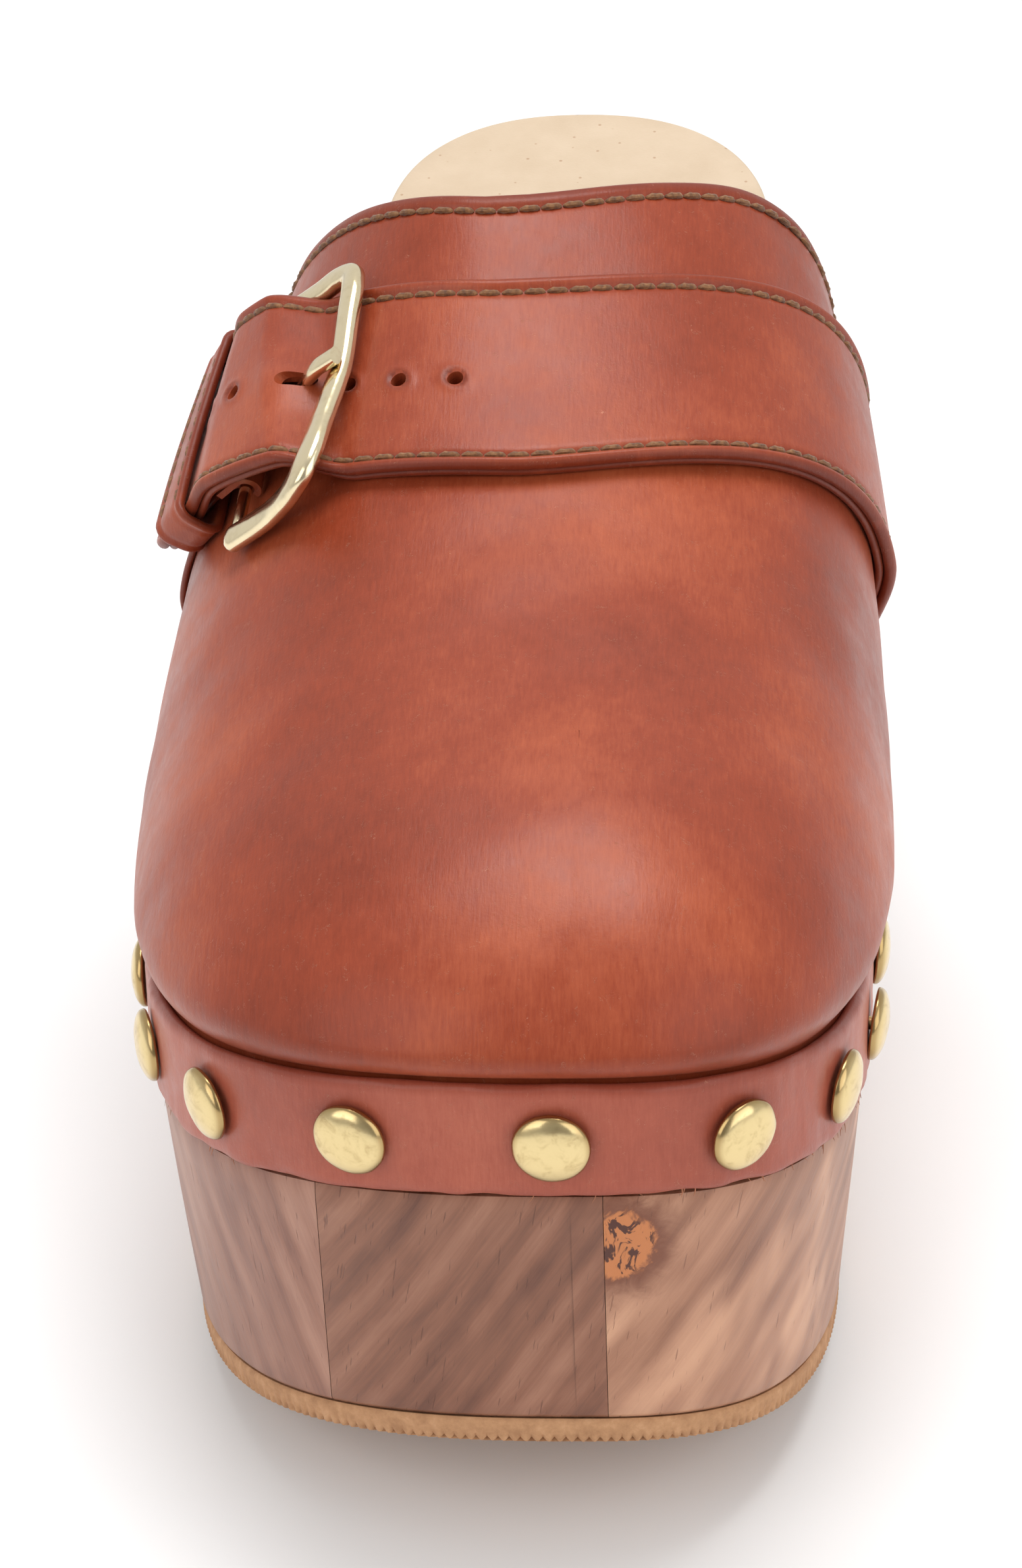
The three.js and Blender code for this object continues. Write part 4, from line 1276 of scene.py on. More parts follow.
@dataclass
class Treads(Platform):
    """Crepe rubber under the forefoot and the heel, with a finely ribbed edge."""

    pitch: float = 1.5
    depth: float = 0.75
    steps_a_rib: int = 6
    ball_end: float = 116.0
    heel_start: float = 184.5

    def wall(self, side: Side, t: np.ndarray) -> tuple[np.ndarray, np.ndarray]:
        """The rubber's wall with its ribs.

        Args:
            side: which side of the foot.
            t: places along the outline.

        Returns:
            How far out and how high each point is.
        """
        y = self.foot.outline(side, t)[:, 1]
        low = self.foot.spring(y)
        stops, lengths = self.foot.run(side, 3.0, RUN_STEPS)
        length = np.interp(t, stops, lengths)
        rib = np.abs(np.sin(math.pi * length / self.pitch))
        share = np.array([0.0, 0.05, 0.15, 0.4, 0.65, 0.85, 0.95, 1.0])
        round_off = 0.55 * bell(share, 0.06) + 0.35 * bell(share - 1, 0.06)
        ribbing = self.depth * (1 - rib[:, None]) * (1 - share) ** 2.5
        out = self.taper(y)[:, None] - 0.1 - round_off - ribbing
        height = low[:, None] + (self.tread - 0.04) * share
        height[:, :3] += (0.6 * (1 - rib))[:, None] * np.array([1.0, 0.8, 0.4])
        return out, height

    def build(self) -> None:
        """Makes and dresses both treads."""
        for name, node, start, end in (
            ("tread_forefoot", "forefoot_tread", 0.0, self.place_of(self.ball_end)),
            ("tread_heel", "heel_tread", self.place_of(self.heel_start), 3.0),
        ):
            stops, lengths = self.foot.run(Side.OUTER, 3.0, RUN_STEPS)
            span = np.interp([start, end], stops, lengths)
            steps = int((span[1] - span[0]) / self.pitch * self.steps_a_rib)
            along = np.interp(np.linspace(*span, steps), lengths, stops)
            shape = self.slab(along, self.wall)
            columns = len(shape.points) // len(along)
            cut_row = len(along) - 1 if start == 0.0 else 0
            shape.faces.append(tuple(range(cut_row * columns, (cut_row + 1) * columns)))
            self.shop.dress(self.shop.bare(name, shape), RUBBER, "rubber", [node])

    def place_of(self, y: float) -> float:
        """The place on the outer outline at y."""
        t = np.linspace(1, 2.5, 3000)
        return float(np.interp(y, self.foot.outline(Side.OUTER, t)[:, 1], t))


@dataclass
class Insole(Platform):
    """The bare leather sock on the footbed."""

    inset_front: float = 5.3
    inset_back: float = 0.6
    inset_change: float = 1.67

    def wall(self, side: Side, t: np.ndarray) -> tuple[np.ndarray, np.ndarray]:
        """The rounded edge of the leather.

        Args:
            side: which side of the foot.
            t: places along the outline.

        Returns:
            How far out and how high each point is.
        """
        edge = self.foot.edge_height(self.foot.outline(side, t)[:, 1])
        inset = -blend(self.inset_front, self.inset_back, ease((t - self.inset_change) / 0.14))
        turn = np.linspace(-1, 1, 9) * math.pi / 2
        thick = 0.95
        out = inset[:, None] + thick * (np.cos(turn) - 1)
        height = edge[:, None] - 2.1 + thick + thick * np.sin(turn)
        return out, height

    def build(self) -> None:
        """Makes and dresses the sock."""
        places = np.concatenate([0.05 * np.linspace(0, 1, 12) ** 2, np.linspace(0.05, 3, 300)[1:]])
        made = self.shop.bare("insole", self.slab(places, self.wall))
        self.shop.dress(made, HIDE, "natural_leather", ["insole_sock"])


# ---- Stitching ----


@dataclass
class Stitching:
    """A row of short twisted stitches that dip into the leather at both ends."""

    pitch: float = 3.15
    length: float = 3.05
    radius: float = 0.46
    dip: float = 0.3
    rings: int = 9
    sides: int = 8

    def row(self, path: np.ndarray, out: np.ndarray) -> Shape:
        """The stitches along a path.

        Args:
            path: points of the seam, closely spaced.
            out: the leather's outward direction at each point.

        Returns:
            All the stitches as one shape.
        """
        lengths = paced(path)
        shape: Shape | None = None
        angles = np.linspace(0, 2 * math.pi, self.sides, endpoint=False)
        for start in np.arange(0.4, lengths[-1] - self.length, self.pitch):
            share = (1 - np.cos(np.linspace(0, math.pi, self.rings))) / 2
            where = start + share * self.length
            middle = np.stack([np.interp(where, lengths, path[:, k]) for k in range(3)], -1)
            normal = unit(np.stack([np.interp(where, lengths, out[:, k]) for k in range(3)], -1))
            along = unit(np.gradient(middle, axis=0))
            across = unit(np.cross(along, normal))
            swell = np.sqrt(np.maximum(0, 1 - np.abs(2 * share - 1) ** 3))
            middle = middle + normal * (swell * self.dip - self.dip)[:, None]
            lobes = 1 + 0.16 * np.cos(2 * (angles[None] - 2.2 * math.pi * share[:, None]))
            size = self.radius * np.maximum(swell, 0.04)[:, None] * lobes
            ring = middle[:, None] + across[:, None] * (size * np.cos(angles))[..., None]
            ring = ring + normal[:, None] * (size * np.sin(angles))[..., None]
            stitch = skin(ring)
            shape = stitch if shape is None else shape.plus(stitch)
        return shape


# ---- The upper ----


@dataclass
class Upper:
    """The vamp with its rolled throat, the lining and the stiffener inside it."""

    shop: Workshop
    form: UpperForm
    skirt: float = 16.4
    leather: float = 1.6
    lining: float = 0.8
    puff: float = 1.0
    puff_end: float = 0.42
    seam: float = 2.2
    corner_reach: float = 7.0
    ribs: int = 150
    rows: int = 64
    curl: int = 10

    def throat_pace(self, side: Side, angles: np.ndarray) -> np.ndarray:
        """The length that one whole rib number would take up at the throat, at each angle."""
        step = 0.01
        gap = self.form.point(side, 1.0, angles) - self.form.point(side, 1.0 - step, angles)
        return np.linalg.norm(gap, axis=-1) / step

    def grid(self, side: Side, ribs: np.ndarray, offset: np.ndarray, textured: bool) -> tuple[np.ndarray, np.ndarray]:
        """Points of one half of the outer face, and how far each is to be lifted off it.

        Args:
            side: which half.
            ribs: the ribs, toe to throat.
            offset: how far off the outer face each rib's points are.
            textured: whether the leather's small unevenness and its seam are put in.

        Returns:
            The points and the lifts, rib by row.
        """
        share = np.linspace(0, 1, self.rows)
        angles = math.pi / 2 * (0.72 * share + 0.28 * share**2)
        rib_grid = np.repeat(ribs[:, None], len(angles), 1)
        points = self.form.point(side, rib_grid, angles[None])
        downs = np.array([self.skirt, self.skirt * 0.5, 2.0, 0.7])
        skirt = points[:, :1] - np.stack([np.zeros(4), np.zeros(4), downs], -1)[None]
        points = np.concatenate([skirt, points], 1)
        reach = self.throat_pace(side, angles)
        reach = np.concatenate([np.full(4, reach[0]), reach])
        behind = (1 - ribs)[:, None] * reach[None]
        lift = np.repeat(offset[:, None], points.shape[1], 1)
        if textured:
            rise = np.concatenate([np.zeros(4), angles])
            calm = ease(rise / 0.3)[None]
            lift = lift + calm * (0.16 * Waver(5, 26).at(points) + 0.02 * Waver(6, 8).at(points))
            lift = lift - 0.34 * bell(behind - self.seam, 0.55) + 0.22 * bell(behind - 0.9, 0.7)
        return points, lift

    def facing(self, halves: Sequence[np.ndarray]) -> list[np.ndarray]:
        """Outward directions of both halves' points, the same where the halves meet.

        Args:
            halves: the points of the outer and the inner half, rib by row.

        Returns:
            The directions of both halves.
        """
        sums = []
        for side, points in zip(Side, halves):
            ahead = points[1:, 1:] - points[:-1, :-1]
            up = points[:-1, 1:] - points[1:, :-1]
            area = np.cross(ahead, up) * side.value
            total = np.zeros_like(points)
            for i, j in ((0, 0), (0, 1), (1, 0), (1, 1)):
                total[i : i + len(area), j : j + area.shape[1]] += area
            sums.append(total)
        for places in (np.s_[:, -1], np.s_[0]):
            shared = sums[0][places] + sums[1][places]
            for total in sums:
                total[places] = shared
        corner = halves[0][0, -1]
        rise = corner - halves[0][0, -8]
        straight = unit(np.cross([1.0, 0.0, 0.0], rise))
        found = []
        for points, total in zip(halves, sums):
            near = bell(np.linalg.norm(points - corner, axis=-1), self.corner_reach)[..., None]
            found.append(unit(blend(unit(total), straight, np.minimum(1, near * 1.6))))
        return found

    def half_and_half(self, ribs: np.ndarray, offset: np.ndarray, thick: float, textured: bool, curl: bool) -> Shape:
        """Both halves of a sheet of leather with its thickness, welded along the ridge.

        Args:
            ribs: the ribs, toe to end.
            offset: how far off the upper's outer face each rib's outer face is.
            thick: the sheet's thickness.
            textured: whether the outer face is uneven and sewn.
            curl: whether the end is rolled over.

        Returns:
            The sheet.
        """
        grids = [self.grid(side, ribs, offset, textured) for side in Side]
        outward = self.facing([points for points, _ in grids])
        lifted = [points + normals * lift[..., None] for (points, lift), normals in zip(grids, outward)]
        shape: Shape | None = None
        for points, normals in zip(lifted, outward):
            inside = points - normals * thick
            last = unit(points[-1] - points[-2])
            turns = np.linspace(0, math.pi, self.curl + 2)[1:-1, None, None] if curl else np.zeros((0, 1, 1))
            radius = thick / 2
            rim = points[-1] + last * radius * np.sin(turns) - normals[-1] * radius * (1 - np.cos(turns))
            whole = np.concatenate([points, rim, inside[::-1]])
            count, rows = whole.shape[:2]
            faces = sheet_faces(count, rows)
            for i in range((count - 1) // 2):
                j = count - 1 - i
                faces.append((i * rows, (i + 1) * rows, (j - 1) * rows, j * rows))
            wear_and_shade = np.zeros((count, rows))
            if curl:
                near = np.linalg.norm(whole - points[-1][None], axis=-1)
                wear_and_shade = 0.75 * bell(near, 1.5)
            half = Shape(whole.reshape(-1, 3), faces, wear_and_shade)
            shape = half if shape is None else shape.plus(half)
        return shape

    def throat_seam(self) -> tuple[np.ndarray, np.ndarray]:
        """The path of the stitches near the throat, outer side to inner side, and its outward directions.

        Returns:
            The points and the directions.
        """
        path, out = [], []
        for side in Side:
            angles = np.linspace(0.1, math.pi / 2, 240)
            rib = 1 - self.seam / self.throat_pace(side, angles)
            here = self.form.point(side, rib, angles)
            back = self.form.point(side, rib - 0.01, angles)
            up = self.form.point(side, rib, np.minimum(angles + 0.01, math.pi / 2))
            down = self.form.point(side, rib, angles - 0.01)
            normal = unit(np.cross(here - back, up - down)) * side.value
            step = slice(None) if side is Side.OUTER else slice(None, None, -1)
            path.append((here + normal * 0.06)[step])
            out.append(normal[step])
        return np.concatenate([path[0], path[1][1:]]), np.concatenate([out[0], out[1][1:]])

    def build(self) -> None:
        """Makes and dresses the vamp, its lining, the stiffener and the throat's stitching."""
        fine = np.concatenate([np.linspace(0, 0.955, self.ribs), np.linspace(0.955, 1, 16)[1:]])
        vamp = self.half_and_half(fine, np.zeros(len(fine)), self.leather, True, True)
        self.shop.dress(self.shop.bare("vamp_leather", vamp, crease=70), COGNAC, "cognac_leather", ["vamp"])
        ribs = np.linspace(0, 0.985, 80)
        step = (self.puff + GAP) * (1 - ease((ribs - self.puff_end - 0.04) / 0.1))
        lining = self.half_and_half(ribs, -self.leather - GAP - step, self.lining, False, True)
        self.shop.dress(self.shop.bare("vamp_inside", lining, crease=70), SUEDE, "lining", ["vamp_lining"])
        ribs = np.linspace(0, self.puff_end, 50)
        puff = self.half_and_half(ribs, np.full(len(ribs), -self.leather - GAP), self.puff, False, False)
        stiffener = self.shop.bare("toe_stiffener", puff, crease=70)
        self.shop.dress(stiffener, FeltBoard("felt_board"), "stiffener", ["toe_puff"])
        seam = Stitching().row(*self.throat_seam())
        self.shop.dress(self.shop.bare("throat_stitching", seam, weld=0.001), THREAD, "cognac_leather")


@dataclass
class Rand:
    """The leather strip that holds the upper to the sole, with ragged fibres under it."""

    shop: Workshop
    foot: Footprint
    band: float = 16.7
    sections: int = 640
    fibres: int = 90

    def spot(self, share: np.ndarray, out: np.ndarray, down: np.ndarray) -> np.ndarray:
        """Points at a share of the strip, -1 on the outer end to 1 on the inner end.

        Args:
            share: places along the strip.
            out: distances out from the outline.
            down: distances below the footbed's edge.

        Returns:
            The points.
        """
        found = []
        for side in Side:
            t = self.foot.place_at(side, np.abs(share) * self.foot.upper_length(side))
            edge = self.foot.outline(side, t)
            away = self.foot.outward(side, t)
            height = self.foot.edge_height(edge[..., 1]) - down
            found.append(np.concatenate([edge + away * out[..., None], height[..., None]], -1))
        return np.where((share < 0)[..., None], found[0], found[1])

    def strip(self) -> Shape:
        """The strip itself, a little uneven, with rounded edges.

        Returns:
            The strip.
        """
        share = np.linspace(-1, 1, self.sections)
        outer = [(-0.35, 0.0), (0.05, 0.06), (0.45, 0.3), (0.72, 0.8), (0.8, 1.6), (0.8, 4), (0.8, 8), (0.8, 12)]
        outer += [(0.8, 14.6), (0.74, 15.6), (0.5, 16.3), (0.1, 16.65)]
        ring = np.array([*outer, (-0.5, 16.7), (-0.9, 16.5), (-0.9, 8), (-0.9, 0.4)])
        out = np.repeat(ring[None, :, 0], len(share), 0)
        down = np.repeat(ring[None, :, 1], len(share), 0)
        where = self.spot(share[:, None] + 0 * out, out, down)
        face = (ring[:, 0] > 0.3)[None]
        out = out + face * (0.16 * Waver(11, 14).at(where) + 0.05 * Waver(12, 3.5).at(where))
        low = ring[:, 1] > 14
        ragged = 0.14 * (1 + Waver(13, 7).at(where))
        drawn = 0.1 * (1 + Waver(14, 12).at(where))
        down = down - low[None] * ragged + (~low)[None] * drawn
        # darker at the face's lower edge as burnish, and along the top edge, in the crease under the vamp's bulge, as
        # painted shade
        wear_and_shade = np.where(face, 0.5, 0.0) * bell(down - self.band, 1.0) + 0.55 * bell(down, 1.2)
        return skin(self.spot(share[:, None] + 0 * out, out, down), wear_and_shade=wear_and_shade)

    def fringe(self) -> Shape:
        """Short torn fibres under the lower edge, most of them on the inner side.

        Returns:
            All the fibres as one shape.
        """
        draw = np.random.default_rng(21)
        shape: Shape | None = None
        for _ in range(self.fibres):
            share = draw.choice([draw.uniform(0.12, 0.8), draw.uniform(-0.9, 0.9)], p=[0.65, 0.35])
            length = draw.uniform(0.5, 1.7)
            bend = draw.uniform(-0.6, 0.6)
            steps = np.linspace(0, 1, 5)
            out = 0.1 + 0.42 * steps * draw.uniform(0.2, 1.0)
            down = self.band - 0.5 + length * steps
            places = np.full(5, share) + bend * 0.006 * steps**2
            path = self.spot(places, out, down)
            size = draw.uniform(0.05, 0.12) * (1 - 0.75 * steps)
            fibre = wire(path, np.array([0.3, -1.0, 0.2]), size, size)
            shape = fibre if shape is None else shape.plus(fibre)
        return shape

    def build(self) -> None:
        """Makes and dresses the strip and its fibres."""
        self.shop.dress(self.shop.bare("rand_strip", self.strip(), crease=60), RAND_LEATHER, "rand_leather", ["rand"])
        made = self.shop.bare("rand_fibres", self.fringe(), weld=0.001)
        self.shop.dress(made, BareHide("torn_fibre", tint(140, 86, 62), tint(170, 112, 82)), "rand_leather")


@dataclass
class Nails:
    """Domed nails along the rand, each set a little differently."""

    shop: Workshop
    foot: Footprint
    pitch: tuple[float, float] = (24.7, 23.6)
    shift: float = 2.0
    a_side: int = 6
    radius: float = 4.85
    height: float = 2.2
    shank: float = 0.9
    length: float = 11.0
    tilt: float = 2.5
    down: float = 8.35

    def lengths(self) -> list[tuple[Side, float]]:
        """The side and the length along the outline of each nail, in the order of the frame's nodes.

        Returns:
            The pairs.
        """
        outer = [(Side.OUTER, count * self.pitch[0] + self.shift) for count in range(self.a_side, -1, -1)]
        inner = [(Side.INNER, count * self.pitch[1] - self.shift) for count in range(1, self.a_side + 1)]
        return outer + inner

    def head(self) -> Shape:
        """A nail along y, its dome towards plus y.

        Returns:
            The nail.
        """
        turn = np.linspace(0, math.pi / 2, 12)
        dome = [(self.radius * math.cos(a), 0.45 + (self.height - 0.45) * math.sin(a)) for a in turn]
        lip = [(self.radius - 0.35, 0.05), (self.radius - 0.08, 0.12), (self.radius, 0.26)]
        shank = [(0.0, -self.length), (self.shank * 0.3, -self.length + 1.2), (self.shank, -self.length + 3.4)]
        return spun([*shank, (self.shank, 0.0), *lip, *dome[:-1], (0.0, self.height)], 48)

    def build(self) -> None:
        """Makes and dresses every nail."""
        draw = np.random.default_rng(7)
        head = self.head()
        for number, (side, length) in enumerate(self.lengths(), 1):
            t = self.foot.place_at(side, length)
            edge = self.foot.outline(side, t)
            away = self.foot.outward(side, t)
            out = np.array([*away, 0.0])
            lean = np.radians(draw.normal(0, self.tilt, 2))
            up = np.array([0.0, 0.0, 1.0])
            along = np.cross(up, out)
            out = unit(out + up * lean[0] + along * lean[1])
            along = unit(np.cross(up, out))
            up = np.cross(out, along)
            centre = np.array([*(edge + away * (0.8 + GAP + 0.12)), self.foot.edge_height(edge[1]) - self.down])
            dents = 1 + 0.008 * Waver(100 + number, 3).at(head.points)[:, None]
            local = head.points * np.where(head.points[:, 1:2] > 0, dents, 1.0)
            points = centre + local[:, :1] * along + local[:, 1:2] * out + local[:, 2:] * up
            rim = bell(np.hypot(local[:, 0], local[:, 2]) - self.radius, 0.5)
            made = self.shop.bare(f"nail_{number:02d}", Shape(points, head.faces, rim * (local[:, 1] > 0)))
            self.shop.dress(made, BRASS, "brass", [f"dome_nail_{number:02d}"])


# ---- The belt and its buckle ----


@dataclass
class BeltSizes:
    """What the belt, its loop and its buckle share."""

    line: BeltLine
    half: float = 17.0
    top: float = 1.4
    lining: float = 1.2
    rise: float = 5.2
    climb: float = 9.0
    pucker: float = 1.4
    pucker_u: float = -28.0
    bar_u: float = -21.5
    pin_u: float = -38.0
    tip_u: float = -67.0
    tip_depth: float = 10.0
    pin_w: float = 2.95
    turn: float = 0.17
    slip: float = -2.0
    wire_radius: float = 1.55
    pin_radius: float = 0.9
    prong_radius: float = 0.85
    holes: tuple[float, ...] = (-45.2, -38.4, -21.5, -14.0, -6.2)
    hole_radius: float = 1.15
    keeper: tuple[float, float] = (-56.0, -48.0)
    keeper_leather: float = 1.3

    def lift(self, u: np.ndarray | float, v: np.ndarray | float = 0.0) -> np.ndarray:
        """How high the belt's underside stands off the upper at u and v; it rises beside the slanting bar.

        Args:
            u: places along the belt.
            v: places across the belt.

        Returns:
            The heights.
        """
        bar_line = self.bar_u - (v - self.slip) * math.tan(self.turn)
        climb = ease((bar_line - 1.9 - u) / self.climb)
        settle = 1 - 0.46 * ease((self.pin_u - 3 - u) / 9)
        pucker = self.pucker * bell(np.hypot(u - self.pucker_u, v), 4.2)
        return GAP + self.rise * climb * settle + pucker

    def narrow(self, u: np.ndarray | float, tip: float) -> np.ndarray:
        """The share of the full width that the rounded tip leaves at u."""
        return np.sqrt(1 - np.clip((tip + self.tip_depth - u) / self.tip_depth, 0, 0.9995) ** 2)

    def pin_axes(self) -> tuple[np.ndarray, np.ndarray, float]:
        """The buckle's place at rest.

        Returns:
            The pin's middle, the rows pin to bar, across and out, and the distance from pin to bar.
        """
        bar_w = GAP + self.lining + self.top + 2 * GAP + self.wire_radius
        bar = self.line.at(self.bar_u, 0, bar_w)
        pin = self.line.at(self.pin_u, 0, self.pin_w)
        along = unit(bar - pin)
        across = unit(self.line.at(self.pin_u, 12, self.pin_w) - self.line.at(self.pin_u, -12, self.pin_w))
        across = across + unit(self.line.at(self.bar_u, 12, bar_w) - self.line.at(self.bar_u, -12, bar_w))
        out = unit(np.cross(along, across))
        across = np.cross(out, along)
        pin = pin + across * self.slip
        cos, sin = math.cos(self.turn), math.sin(self.turn)
        axes = np.array([along * cos + across * sin, across * cos - along * sin, out])
        return pin, axes, float(np.linalg.norm(bar - pin + across * self.slip))


@dataclass
class Belt:
    """The two layers of the belt, sewn along both edges, with its holes."""

    shop: Workshop
    sizes: BeltSizes
    rim: float = 0.42
    groove: float = 0.42
    seam: float = 2.3
    edge_points: int = 7

    def layer(self, half: float, low: float, thick: float, u: np.ndarray, tip: float, face: bool) -> Shape:
        """One layer of leather.

        Args:
            half: half its full width.
            low: the height of its underside over the belt's own underside.
            thick: its thickness.
            u: places along the belt.
            tip: where its rounded tip begins.
            face: whether it has the raised rims, the seams and the puckered holes.

        Returns:
            The layer.
        """
        sizes = self.sizes
        radius = thick / 2
        turn = np.linspace(-math.pi / 2, math.pi / 2, self.edge_points)
        flat = np.linspace(1, -1, 60)
        flat = np.sign(flat) * (1 - (1 - np.abs(flat)) ** 1.25)
        widths = half * sizes.narrow(u, tip)[:, None]
        inner = np.maximum(widths - radius, 0.05)
        right = inner + radius * np.cos(turn) * np.minimum(1, widths / radius)
        right_w = radius + radius * np.sin(turn)
        top_v = inner * flat[None, 1:-1]
        under_v = -inner * np.linspace(1, -1, 26)[None, 1:-1]
        v = np.concatenate([right, top_v, -right[:, ::-1], under_v], 1)
        count = len(turn)
        w = np.zeros_like(v)
        w[:, :count] = right_w
        w[:, count : count + top_v.shape[1]] = thick
        w[:, count + top_v.shape[1] : 2 * count + top_v.shape[1]] = right_w[::-1]
        wear_and_shade = np.zeros_like(v)
        if face:
            upper = np.zeros_like(v)
            upper[:, count // 2 : 2 * count + top_v.shape[1] - count // 2] = 1.0
            inset = self.inset(u[:, None], v, half, tip)
            shape = self.rim * bell(inset - 1.0, 0.75) - self.groove * bell(inset - self.seam, 0.62)
            wear_and_shade = 0.8 * bell(inset, 0.75) + 0.3 * bell(inset - self.seam, 0.6)
            for hole in sizes.holes:
                away = np.hypot(u[:, None] - hole, v)
                shape += 0.26 * bell(away - 1.8, 0.7) - 0.5 * bell(away, 1.1)
                wear_and_shade = np.maximum(wear_and_shade, bell(away - 1.2, 0.6))
            w = w + upper * shape
        else:
            wear_and_shade = 0.8 * bell(np.abs(v) - widths, 0.8)
        where = u[:, None] + 0 * v
        return skin(sizes.line.at(where, v, low + sizes.lift(where, v) + w), wear_and_shade=wear_and_shade)

    def inset(self, u: np.ndarray, v: np.ndarray, half: float, tip: float) -> np.ndarray:
        """How far a place on the layer is from its edge, measured about squarely.

        Args:
            u: places along the belt.
            v: places across the belt.
            half: half the layer's full width.
            tip: where its rounded tip begins.

        Returns:
            The distances.
        """
        depth = self.sizes.tip_depth
        round_part = np.clip((tip + depth - u) / depth, 0, 1)
        reach = np.hypot(round_part, v / half)
        scale = np.where(reach > 1e-6, np.hypot(round_part * depth, v) / np.maximum(reach, 1e-6), depth)
        return (1 - reach) * np.where(round_part > 0, scale, half)

    def cutters(self, frame_holes: Sequence[float]) -> Shape:
        """Straight round cutters through the belt at its holes.

        Args:
            frame_holes: where the holes are along the belt.

        Returns:
            All the cutters as one shape.
        """
        sizes = self.sizes
        shape: Shape | None = None
        turn = np.linspace(0, 2 * math.pi, 20, endpoint=False)
        for hole in frame_holes:
            base = float(sizes.lift(hole))
            centre = sizes.line.at(hole, 0, base)
            ahead = sizes.line.at(hole + 3, 0, base) - sizes.line.at(hole - 3, 0, base)
            across = unit(sizes.line.at(hole, 10, base) - sizes.line.at(hole, -10, base))
            out = unit(np.cross(ahead, across))
            ahead = np.cross(across, out)
            r = sizes.hole_radius
            ring = centre + r * (np.cos(turn)[:, None] * ahead + np.sin(turn)[:, None] * across)
            tool = skin(np.stack([ring - out * 2, ring + out * 6]))
            shape = tool if shape is None else shape.plus(tool)
        return shape

    def slot_cutter(self, start: float, end: float, half: float) -> Shape:
        """A long cutter for the prong, from start to end on the way from pin to bar.

        Args:
            start: where it begins.
            end: where it ends.
            half: half its width.

        Returns:
            The cutter.
        """
        pin, axes, _ = self.sizes.pin_axes()
        turn = np.linspace(-math.pi / 2, math.pi / 2, 10)
        right = [(end - half + half * math.cos(a), half * math.sin(a)) for a in turn]
        left = [(start + half - half * math.cos(a), -half * math.sin(a)) for a in turn]
        outline = np.array([*right, *left])
        ring = pin + outline[:, :1] * axes[0] + outline[:, 1:] * axes[1]
        return skin(np.stack([ring - axes[2] * 3, ring + axes[2] * 14]))

    def seam_path(self, side: int) -> tuple[np.ndarray, np.ndarray]:
        """One edge's seam, from the tip to the inner end, and its outward directions.

        Args:
            side: 1 for the heel side and -1 for the toe side.

        Returns:
            The seam's points and directions.
        """
        sizes = self.sizes
        tip = sizes.tip_u
        end = sizes.line.inner_u - 2.5
        bow = np.linspace(0.06, math.pi / 2, 40)
        reach = sizes.tip_depth - self.seam
        straight = np.linspace(tip + sizes.tip_depth, end, 500)[1:]
        u = np.concatenate([tip + self.seam + reach * (1 - np.cos(bow)), straight])
        v = np.concatenate([(sizes.half - self.seam) * np.sin(bow), np.full(499, sizes.half - self.seam)]) * side
        low = sizes.lift(u, v) + sizes.lining + 0.1 + sizes.top - self.groove + 0.26
        here = sizes.line.at(u, v, low)
        return here, unit(sizes.line.at(u, v, low + 1) - here)

    def places(self, end: float) -> np.ndarray:
        """Places along the belt, closest at the tip and at the holes.

        Args:
            end: the last place.

        Returns:
            The places.
        """
        tip = self.sizes.tip_u
        depth = self.sizes.tip_depth
        bow = tip + depth * (1 - np.cos(np.linspace(0.012, math.pi / 2, 34)))
        return np.concatenate([bow, np.linspace(tip + depth, 2, 150)[1:], np.linspace(2, end, 130)[1:]])

    def build(self) -> None:
        """Makes and dresses both layers and their stitching."""
        sizes = self.sizes
        u = self.places(sizes.line.inner_u - 1.3)
        top = self.layer(sizes.half, sizes.lining + 0.1, sizes.top, u, sizes.tip_u, True)
        under = self.layer(sizes.half - 0.35, 0.0, sizes.lining, u, sizes.tip_u + 0.3, False)
        for name, node, shape, start in (
            ("belt_face", "belt_top", top, 9.2),
            ("belt_back", "belt_lining", under, 0.5),
        ):
            made = self.shop.bare(name, shape, crease=55)
            self.shop.carve(made, self.shop.bare("punch", self.cutters(sizes.holes)))
            self.shop.carve(made, self.shop.bare("punch", self.slot_cutter(start, 13.5, 1.35)))
            self.shop.dress(made, COGNAC, "cognac_leather", [node])
        seams = Stitching().row(*self.seam_path(-1)).plus(Stitching().row(*self.seam_path(1)))
        self.shop.dress(self.shop.bare("belt_stitching", seams, weld=0.001), THREAD, "cognac_leather")


